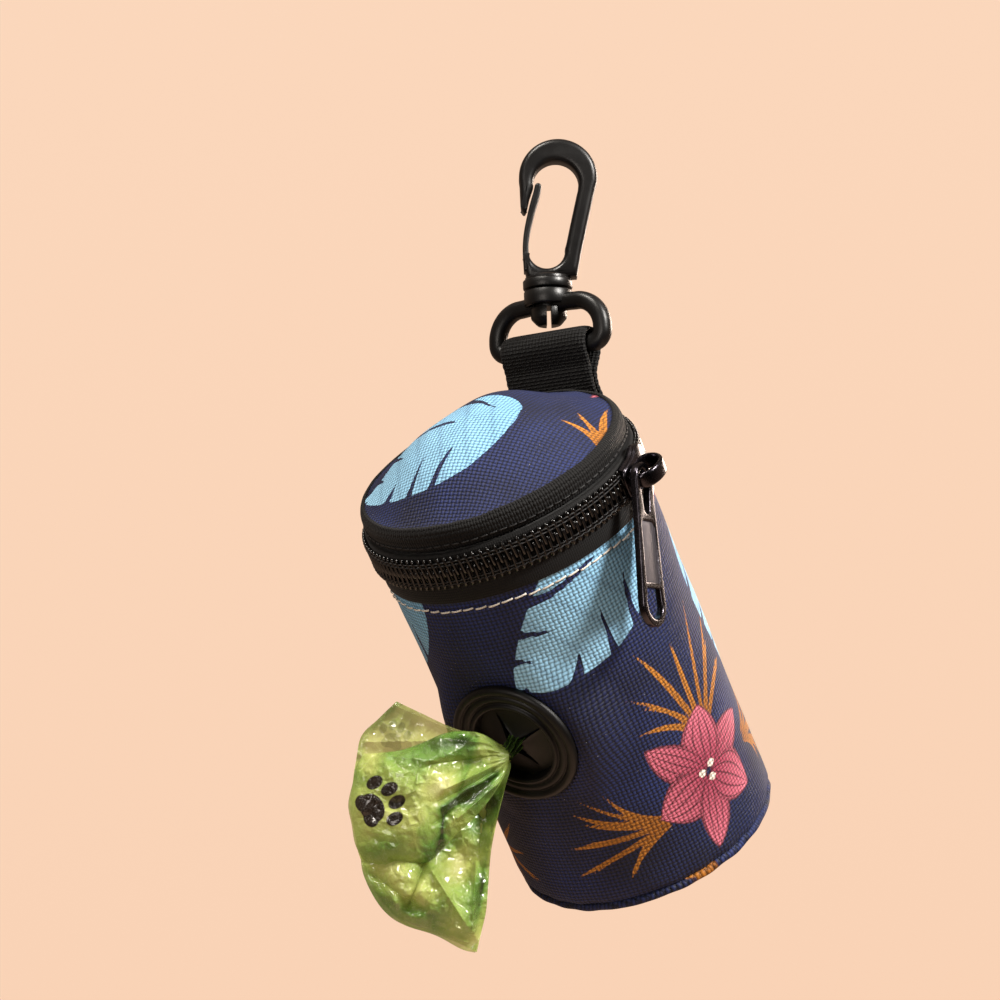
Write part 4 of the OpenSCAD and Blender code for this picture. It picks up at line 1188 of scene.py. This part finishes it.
def build_strap():
    """Webbing round the eye's bar and down to the seam, two plies with rounded, scalloped edges."""
    steps, edge_steps, half_thick, rib = 150, 35, 0.62, 1.16
    lid = SEW @ LID_UNDER_SEAM
    ends = [lid @ Vector((0, y, z)) for y, z in ((25.98, 4.1), (25.98, 6.4), (27.4, 6.4), (27.4, 4.1))]
    ends = [(p.y, p.z) for p in ends]
    middle = [(-0.85, -5.5), (-1.2, -4.0), (-2.1, -2.1), (-2.66, -0.4), (-2.35, 1.35), (-1.35, 2.4),
              (0.0, 2.72), (1.4, 2.36), (2.4, 1.25), (2.68, -0.4), (2.25, -2.1), (1.4, -4.0), (0.95, -5.5)]
    line, run = smooth_path(ends[:2] + middle + ends[2:], steps)
    _, left = beside(line)
    run = run[:, None]
    across = np.concatenate([np.linspace(-1, 1, edge_steps), np.linspace(1, -1, edge_steps)])
    face = np.repeat([1.0, -1.0], edge_steps)
    thick = face * half_thick * (1 - np.abs(across) ** 14 * 0.75)
    scallop = 0.12 * np.abs(np.sin(run * np.pi / rib)) * np.abs(across) ** 10
    x = across * (STRAP_HALF + scallop)
    bow = 0.35 * (1 - across ** 2) * np.sin(run / run[-1] * np.pi * 2) ** 2
    y = line[:, :1] - left[:, :1] * (thick + bow)
    z = line[:, 1:] - left[:, 1:] * (thick + bow)
    faces = tube_faces(steps, 2 * edge_steps)
    strap = make_piece("webbing", vectors(x, y, z), faces, EYE, WEBBING, {"cloth": vectors(x, run, 0)})
    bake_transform(strap)
    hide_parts("strap_loop", "strap_tail")
    stitch_every, stitch_half = 1.2, 0.48
    t = np.linspace(-1, 1, 7)
    paths = []
    for height in (4.6, 6.2):
        for k in range(-7, 8):
            stitch_x = stitch_every * k + stitch_half * t
            paths.append(vectors(stitch_x, 28.02 + 0.1 * (1 - t * t), height + 0.05 * np.sin(k + t)))
    points, faces = threads(paths, 0.16, 6, out=(0, 1, 0))
    fit(make_piece("strap_thread", points, faces, POUCH, THREAD_BLACK), "lid", "thread", "strap_stitches")


# ---- Dispensing ring ----
def build_ring():
    """Moulded rubber ring in raised and sunk rounds, and its thin sunk membrane cut in four petals."""
    profile = [
        (7.55, 20.9), (9.15, 20.9), (9.2, 21.4), (9.25, 24.3), (11.9, 24.45), (12.12, 24.9), (12.1, 25.55),
        (11.85, 26.0), (11.35, 26.28), (10.85, 26.25), (10.6, 25.95), (10.42, 25.62), (10.2, 25.6),
        (10.0, 25.85), (9.7, 25.95), (9.2, 25.95), (8.98, 25.7), (8.75, 25.62), (8.6, 25.8), (8.45, 26.1),
        (8.15, 26.22), (7.85, 26.15), (7.65, 25.85), (7.55, 25.3), (7.52, 24.0), (7.52, 22.0)]
    points = turned(profile, steps=145)
    faces = grid_faces(*points.shape[:2], round_columns=True)
    ring = make_piece("rubber_ring", points, faces, RING, RUBBER)
    fit(with_subdivision(soften(ring, 60)), "pouch", "rubber", "grommet_flange")
    points, faces = joined(*[petal(k) for k in range(4)])
    membrane = soften(make_piece("slit_rubber", points, faces, RING, RUBBER), 50)
    fit(membrane, "pouch", "rubber", "slit_membrane")


def petal(number):
    """A quarter of the membrane. Its point curls out, most where the bag pushes past it."""
    rows, columns, thickness = 15, 21, 0.55
    turn = math.radians(20 + 90 * number)
    pushed = number in (1, 2)
    r, a = np.meshgrid(np.linspace(0, 1, rows), np.linspace(0, 1, columns), indexing="ij")
    gap = 0.13 + 0.12 * (1 - r) + (0.25 if pushed else 0.1) * (1 - r) ** 2
    reach = 1.0 + 6.5 * r
    low = np.arcsin(np.clip(gap / reach, 0, 1))
    angle = low + (np.pi / 2 - 2 * low) * a
    curl = (1 - r) ** 2.2 * (1.9 if pushed else 1.3) + 0.35 * np.abs(2 * a - 1) ** 6 * (1 - r)
    past_slits = np.clip((r - 0.72) / 0.06, 0, 1)
    angle = angle * (1 - past_slits) + (np.pi / 2 * a) * past_slits + turn
    top = vectors(reach * np.cos(angle), reach * np.sin(angle), 24.05 + curl).reshape(-1, 3)
    count = rows * columns
    faces = grid_faces(rows, columns)
    faces += [[v + count for v in face][::-1] for face in faces]
    places = np.arange(count).reshape(rows, columns)
    border = [*places[:, 0], *places[-1, 1:], *places[-2::-1, -1], *places[0, -2:0:-1]]
    for p, q in zip(border, border[1:] + border[:1]):
        faces.append([int(v) for v in (p, p + count, q + count, q)])
    return np.vstack([top, top - (0, 0, thickness)]), faces


# ---- Roll of bags ----
def build_roll():
    """The roll: film wound in many layers, its ends stepped a little where the winding wandered."""
    layers = 52
    z0 = BASE_Z + 2.1 + 0.35
    radii = np.linspace(ROLL_R - 0.1, CORE_R, layers)
    wander = 0.22 * random.normal(size=layers)
    top = [(r, z0 + ROLL_LEN - 0.3 + w) for r, w in zip(radii, wander)]
    low = [(r, z0 + 0.3 - w) for r, w in zip(radii[::-1], wander[::-1])]
    side = [(ROLL_R, z0 + height) for height in (6, 20, 34, 50)]
    profile = np.array([*low, *side, *top])
    r, z = profile.T
    points = turned(profile, steps=121)
    a = np.radians(np.linspace(0, CIRCLE, 121))[:, None]
    grow = 1 - 0.006 * (1 + np.sin(9 * a + 0.2 * z) * np.sin(3 * a)) * (r > 15)
    points[..., :2] *= grow[..., None]
    film = vectors(-3.0 + 0 * a, 0.35 + 0.2 * (r < 15), 0)
    faces = grid_faces(121, len(profile), round_columns=True)
    roll = make_piece("roll", points, faces, POUCH, FILM, {"film": film})
    fit(soften(roll, 40), "roll", "film", "bag_roll")


# ---- The drawn bag. Its places are millimetres right of and above the neck's end, and depth behind it ----
def facets(x, z, size, height, seed):
    """Height of film crumpled into flat random triangles of about that size, over all the bag's places."""
    tiny = 1e-6
    rng = np.random.default_rng(seed)
    across, up = np.meshgrid(np.arange(-36, 9, size), np.arange(-44, 18, size))
    corners = np.stack([across, up], -1).reshape(-1, 2) + rng.uniform(-0.42, 0.42, (across.size, 2)) * size
    lift = rng.normal(0, height, len(corners))
    made = geometry.delaunay_2d_cdt([Vector(c) for c in corners], [], [], 0, 1e-5)
    corners, triangles, source = made[0], made[2], made[3]
    lift = np.array([lift[s[0]] for s in source])
    corners = np.array([tuple(c) for c in corners])
    result = np.zeros(x.shape)
    for triangle in triangles:
        a, b, c = corners[triangle]
        spread = (b[1] - c[1]) * (a[0] - c[0]) + (c[0] - b[0]) * (a[1] - c[1])
        p = ((b[1] - c[1]) * (x - c[0]) + (c[0] - b[0]) * (z - c[1])) / spread
        q = ((c[1] - a[1]) * (x - c[0]) + (a[0] - c[0]) * (z - c[1])) / spread
        inside = (p >= -tiny) & (q >= -tiny) & (p + q <= 1 + tiny)
        value = p * lift[triangle[0]] + q * lift[triangle[1]] + (1 - p - q) * lift[triangle[2]]
        result[inside] = value[inside]
    return result


def crumple(x, z, *grades):
    """Crumpling of several sizes on one another, each given as its size, height and seed."""
    return sum(facets(x, z, *grade) for grade in grades)


def crease(x, z, start, end, width):
    """1 along a straight fold line, falling off to both sides over that width."""
    start, end = np.array(start, float), np.array(end, float)
    run = end - start
    t = np.clip(((x - start[0]) * run[0] + (z - start[1]) * run[1]) / (run @ run), 0, 1)
    away = np.hypot(x - start[0] - t * run[0], z - start[1] - t * run[1])
    return np.exp(-away / width)


def creases(x, z, *lines):
    """The sum of several fold lines, each given as its height, ends and width."""
    return sum(height * crease(x, z, start, end, width) for height, start, end, width in lines)


def mound(x, z, centre, size):
    """1 at a place, falling off softly to the sides and up and down over those two sizes."""
    return np.exp(-((x - centre[0]) / size[0]) ** 2 - ((z - centre[1]) / size[1]) ** 2)


def mounds(x, z, *places):
    """The sum of several mounds, each given as its height, centre and sizes."""
    return sum(height * mound(x, z, centre, size) for height, centre, size in places)


def film_patch(upper, lower, neck, edge, rows, columns):
    """Film between four borders of (right, depth, up). Returns its points, then s, which runs outwards from
    the neck, and u, which runs from the upper border to the lower one."""
    top, _ = smooth_path(upper, rows)
    low, _ = smooth_path(lower, rows)
    near, _ = smooth_path(neck, columns)
    far, _ = smooth_path(edge, columns)
    s, u = np.meshgrid(np.linspace(0, 1, rows), np.linspace(0, 1, columns), indexing="ij")
    s3, u3 = s[..., None], u[..., None]
    points = (1 - u3) * top[:, None] + u3 * low[:, None] + (1 - s3) * near[None] + s3 * far[None]
    corners = ((1 - s3) * (1 - u3) * top[0] + s3 * (1 - u3) * top[-1] + (1 - s3) * u3 * low[0]
               + s3 * u3 * low[-1])
    return points - corners, s, u


NO_INK = -3.0


def paw(x, z, x0, z0, turn, size):
    """Distance inside a plain round-toed paw print: a pad of three ovals, and four toes."""
    c, s = math.cos(math.radians(turn)), math.sin(math.radians(turn))
    along = ((x - x0) * c + (z - z0) * s) / size
    up = ((z - z0) * c - (x - x0) * s) / size
    ovals = ((0, -0.2, 1.0, 0.8), (-0.55, -0.6, 0.6, 0.5), (0.55, -0.6, 0.6, 0.5),
             (-1.35, 0.75, 0.42, 0.6), (-0.48, 1.4, 0.42, 0.62),
             (0.48, 1.4, 0.42, 0.62), (1.35, 0.75, 0.42, 0.6))
    best = np.full(x.shape, NO_INK)
    for cx, cz, rx, rz in ovals:
        away = np.hypot((along - cx) / rx, (up - cz) / rz)
        best = np.maximum(best, (1 - away) * min(rx, rz) * size)
    return best


def place_film(name, points, tone, ink, strength=1.0):
    """Puts a layer on its place, given its points in millimetres from the neck's end, its tone, its ink and
    that ink's strength."""
    drawn_scale = 0.95
    neck_end = RING @ Vector((0, 0, 28.2))
    field = vectors(np.clip(ink, -3, 3), tone, strength)
    points = drawn_scale * points + np.array(neck_end)
    film = make_piece(name, points, grid_faces(*points.shape[:2]), WORLD, FILM, {"film": field})
    soften(film, 50)
    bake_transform(film)
    return film


def build_back_layer():
    """The back layer, with its free upper corner and a small faint paw."""
    upper = [(0.3, 0.5, 1.0), (-5, 1.6, 3.2), (-10.4, 2.4, 5.2), (-15.5, 2.6, 7.8), (-20.3, 1.8, 10.3)]
    lower = [(0.4, 0.8, -1.5), (-1.0, 1.5, -7.3), (-3.6, 2.4, -16.7), (-4.6, 2.4, -24.2), (-5.3, 2.0, -29.4),
             (-7.0, 1.2, -36)]
    neck = [upper[0], (0.9, 0.8, -0.3), lower[0]]
    edge = [upper[-1], (-23.6, 2.0, 7.4), (-26.9, 2.2, 4.3), (-28.0, 2.4, 0.5), (-28.9, 2.5, -4.5),
            (-29.4, 2.5, -9), (-28.6, 2.5, -14.5), (-28.0, 2.4, -18), (-25.0, 2.2, -25.0),
            (-20.0, 2.0, -30.6), (-14.0, 1.6, -32.6), lower[-1]]
    points, s, _ = film_patch(upper, lower, neck, edge, 130, 200)
    x, z = points[..., 0].copy(), points[..., 2].copy()
    free = ease(s * 4)
    points[..., 1] += free * crumple(x, z, (5.0, 0.8, 31), (1.9, 0.28, 32))
    folds = creases(x, z, (-1.6, (-3, 2.5), (-26, 3.0), 1.3), (-1.2, (-9, 4), (-20.5, 9.5), 1.0))
    points[..., 1] += free * folds
    tone = 0.08 + 0.25 * mound(x, z, (-21, 7), (4.5, 4)) + 0.2 * ease((s - 0.93) / 0.05)
    ink = paw(x, z, -21.2, 3.4, -20, 1.75)
    return place_film("bag_back_layer", points, tone, ink, 0.35)


def build_lower_lobe():
    """The lower lobe, with the fold along its right edge and the valley beside that, dark with painted
    shadow.
    """
    upper = [(0.0, -0.2, -1.2), (-3, 0.8, -6), (-9.5, 0.4, -12), (-16, -0.8, -16.3), (-22, -1.2, -17),
             (-27.6, -0.4, -16)]
    lower = [(0.5, -0.4, -2.6), (-1.0, -0.9, -7.3), (-3.5, -1.2, -16.7), (-4.5, -1.2, -24.2),
             (-5.2, -0.8, -29.4), (-7.3, 0.6, -36.1)]
    neck = [upper[0], (0.4, -0.5, -1.9), lower[0]]
    edge = [upper[-1], (-27.4, -0.6, -20.5), (-25.5, -0.6, -25.2), (-23.0, -0.5, -28.6),
            (-19.8, -0.3, -30.7), (-14.4, 0.2, -32.7), (-9.9, 0.4, -35.3), lower[-1]]
    points, s, u = film_patch(upper, lower, neck, edge, 190, 170)
    x, z = points[..., 0].copy(), points[..., 2].copy()
    free = ease(s * 5) * ease((1 - s) * 9 + 0.15)
    rim = ease((1 - u) * 7)
    lobe = mounds(x, z, (-4.2, (-20.5, -23), (6.5, 5.5)), (-2.6, (-11, -29), (6, 4.5)))
    valley = mounds(x, z, (2.6, (-6.5, -11), (4.2, 7)), (1.8, (-9.5, -20.5), (4.2, 4.5)))
    folds = creases(
        x, z, (2.4, (-16, -19.6), (-19, -27), 0.8), (-1.8, (-14.5, -21), (-8.5, -31), 0.9),
        (1.5, (-26, -21), (-17, -27.5), 0.8), (-1.3, (-20, -29.6), (-9, -34), 0.8),
        (-1.4, (-6.6, -20), (-7.6, -32), 0.6))
    points[..., 1] += free * rim * (lobe + valley) + free * folds
    points[..., 1] += free * crumple(x, z, (4.4, 0.85, 41), (1.9, 0.34, 42), (0.9, 0.11, 43))
    # painted shadow: the tone is darkest in the valley beside the right-hand fold (the first mound); the
    # facet term varies at random
    tone = 0.42 + mounds(x, z, (0.75, (-5.5, -9.5), (2.8, 6.5)), (0.3, (-12, -16.5), (3.5, 1.6)),
                         (-0.4, (-9, -20.5), (3.4, 4.0)))
    tone += 0.22 * facets(x, z, 5.0, 1.0, 62) - 0.25 * ease((u - 0.93) / 0.05)
    # painted shade along the fold at the right edge
    tone += 0.15 * crease(x, z, (-16, -19.6), (-19, -27), 1.2)
    return place_film("bag_lower_lobe", points, tone, NO_INK + 0 * x)


def build_front_pillow():
    """The front pillow: pleats run out of the neck and die away in a tight round belly with a bold paw."""
    upper = [(0.0, -1.0, 0.6), (-4.2, -1.9, 3.4), (-8.3, -2.3, 4.3), (-11.7, -2.2, 3.9), (-14.4, -1.9, 2.9),
             (-19.8, -1.4, 1.2), (-26.6, -0.6, 0.7)]
    lower = [(0.1, -1.0, -2.1), (-1.0, -2.2, -4.6), (-2.9, -2.9, -7.5), (-6.3, -3.2, -11.4),
             (-9.7, -2.8, -14.4), (-12.6, -2.3, -17.2), (-15.2, -2.2, -19.3), (-18.8, -1.8, -19.7),
             (-23.2, -1.4, -20.0), (-26.8, -0.8, -19.2)]
    neck = [upper[0], (0.2, -2.0, -0.7), lower[0]]
    edge = [upper[-1], (-28.0, -1.0, -1.5), (-28.6, -1.1, -4.2), (-29.6, -1.2, -8.3), (-29.1, -1.2, -12.0),
            (-28.5, -1.0, -15.8), lower[-1]]
    points, s, u = film_patch(upper, lower, neck, edge, 210, 210)
    x, z = points[..., 0].copy(), points[..., 2].copy()
    round_u = (1 - np.abs(2 * u - 1) ** 2.6) ** 0.62
    round_s = ease(s * 1.5) * (1 - np.clip((s - 0.55) / 0.45, 0, 1) ** 2.6) ** 0.7
    belly = -4.6 * round_u * round_s
    broad = np.cos(2 * np.pi * (3.3 * u + 0.5 * np.sin(4 * u + 1) + 0.6 * s))
    narrow = np.cos(2 * np.pi * (9 * u + s))
    fade = ease(s * 6) * np.clip(1 - s / 0.62, 0, 1) ** 1.4 * round_u ** 0.5
    pleats = (0.5 * broad + 0.22 * narrow) * fade
    deep_folds = mound(x, z, (-7.6, -2.2), (4.2, 1.6)) * 2.0 + creases(
        x, z, (-1.5, (-1, -1.6), (-11.5, -6.2), 0.9), (-1.7, (-1.5, -5.2), (-9.5, -11.6), 1.0),
        (1.6, (-1.2, -3.2), (-9.5, -8.6), 0.55), (-1.2, (-2, 1.6), (-13.5, 3.2), 1.1))
    folds = creases(
        x, z, (1.5, (-3, -3.5), (-13, -8.5), 0.7), (1.2, (-2, -0.5), (-14, -1.6), 0.8),
        (1.3, (-10.5, -10), (-14, -12.5), 0.6), (-0.7, (-13, -1.2), (-22, 0.2), 0.9),
        (0.9, (-27, -2), (-24, 0.4), 0.7))
    free = ease(s * 5) * ease((1 - s) * 10 + 0.1)
    points[..., 1] += belly + pleats + ease(s * 5) * deep_folds + free * folds
    points[..., 1] += free * crumple(x, z, (4.0, 0.6, 51), (1.8, 0.26, 52), (0.9, 0.1, 53))
    # painted light and shade: the round belly is painted paler, and the folds by the neck and along the top
    # edge, two crease lines and a patch by the lower edge are painted darker; the facet term varies at
    # random
    tone = 0.34 + mounds(x, z, (-0.3, (-17.5, -9), (5.5, 5.5)), (0.32, (-9, 2.4), (7, 1.8)),
                         (0.12, (-8, -2.4), (4, 1.6)), (0.25, (-8, -8), (3, 3)),
                         (0.25, (-24, -16.5), (5, 2)))
    tone += creases(x, z, (0.5, (-2, -4), (-12, -10), 0.9), (0.5, (-12, -10), (-13, -18), 0.8))
    tone += 0.15 * facets(x, z, 5.5, 1.0, 61)
    ink = paw(x, z, -24.6, -8.9, -62, 2.8)
    return place_film("bag_front_pillow", points, tone, ink)


def build_bag():
    """The first bag, drawn out: its three layers of film, and the neck, gathered into a pleated cord that
    comes through the slits."""
    back = build_back_layer()
    build_lower_lobe()
    build_front_pillow()
    rows, columns = 40, 97
    along = np.linspace(0, 1, rows)[:, None]
    turn = np.linspace(0, 2 * np.pi, columns)
    height = 16.5 + 12.6 * along
    radius = 0.74 * np.interp(height, [16.5, 22.5, 26.0, 29.1], [5.3, 1.9, 1.8, 1.5])
    twist = 0.9 * along
    pleat = 1 + 0.16 * np.cos(9 * (turn + twist)) + 0.08 * np.cos(17 * turn - 2 * twist)
    r = radius * pleat
    points = vectors(r * np.cos(turn), r * np.sin(turn), height)
    # painted shade: the neck is toned dark, darker in the valleys of its pleats than on their ridges
    field = vectors(NO_INK, 0.85 - (pleat - 1), 1)
    stem = make_piece("bag_neck_pleats", points, grid_faces(rows, columns), RING, FILM, {"film": field})
    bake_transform(stem)
    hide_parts("bag_neck")
    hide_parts("bag_tail")


set_camera()
set_light()
set_stage()
build_wall()
build_base()
build_linings()
build_lid()
build_zip()
build_slider()
build_pull()
build_hook()
build_gate()
build_eye()
build_strap()
build_ring()
build_roll()
build_bag()

# Inner parts that keep the CAD model's own shape
for node, finish in (("roll_core", CARD), ("base_stiffener", STIFFENER), ("grommet_back_ring", RUBBER)):
    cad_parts[node].data.materials.clear()
    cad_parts[node].data.materials.append(finish)
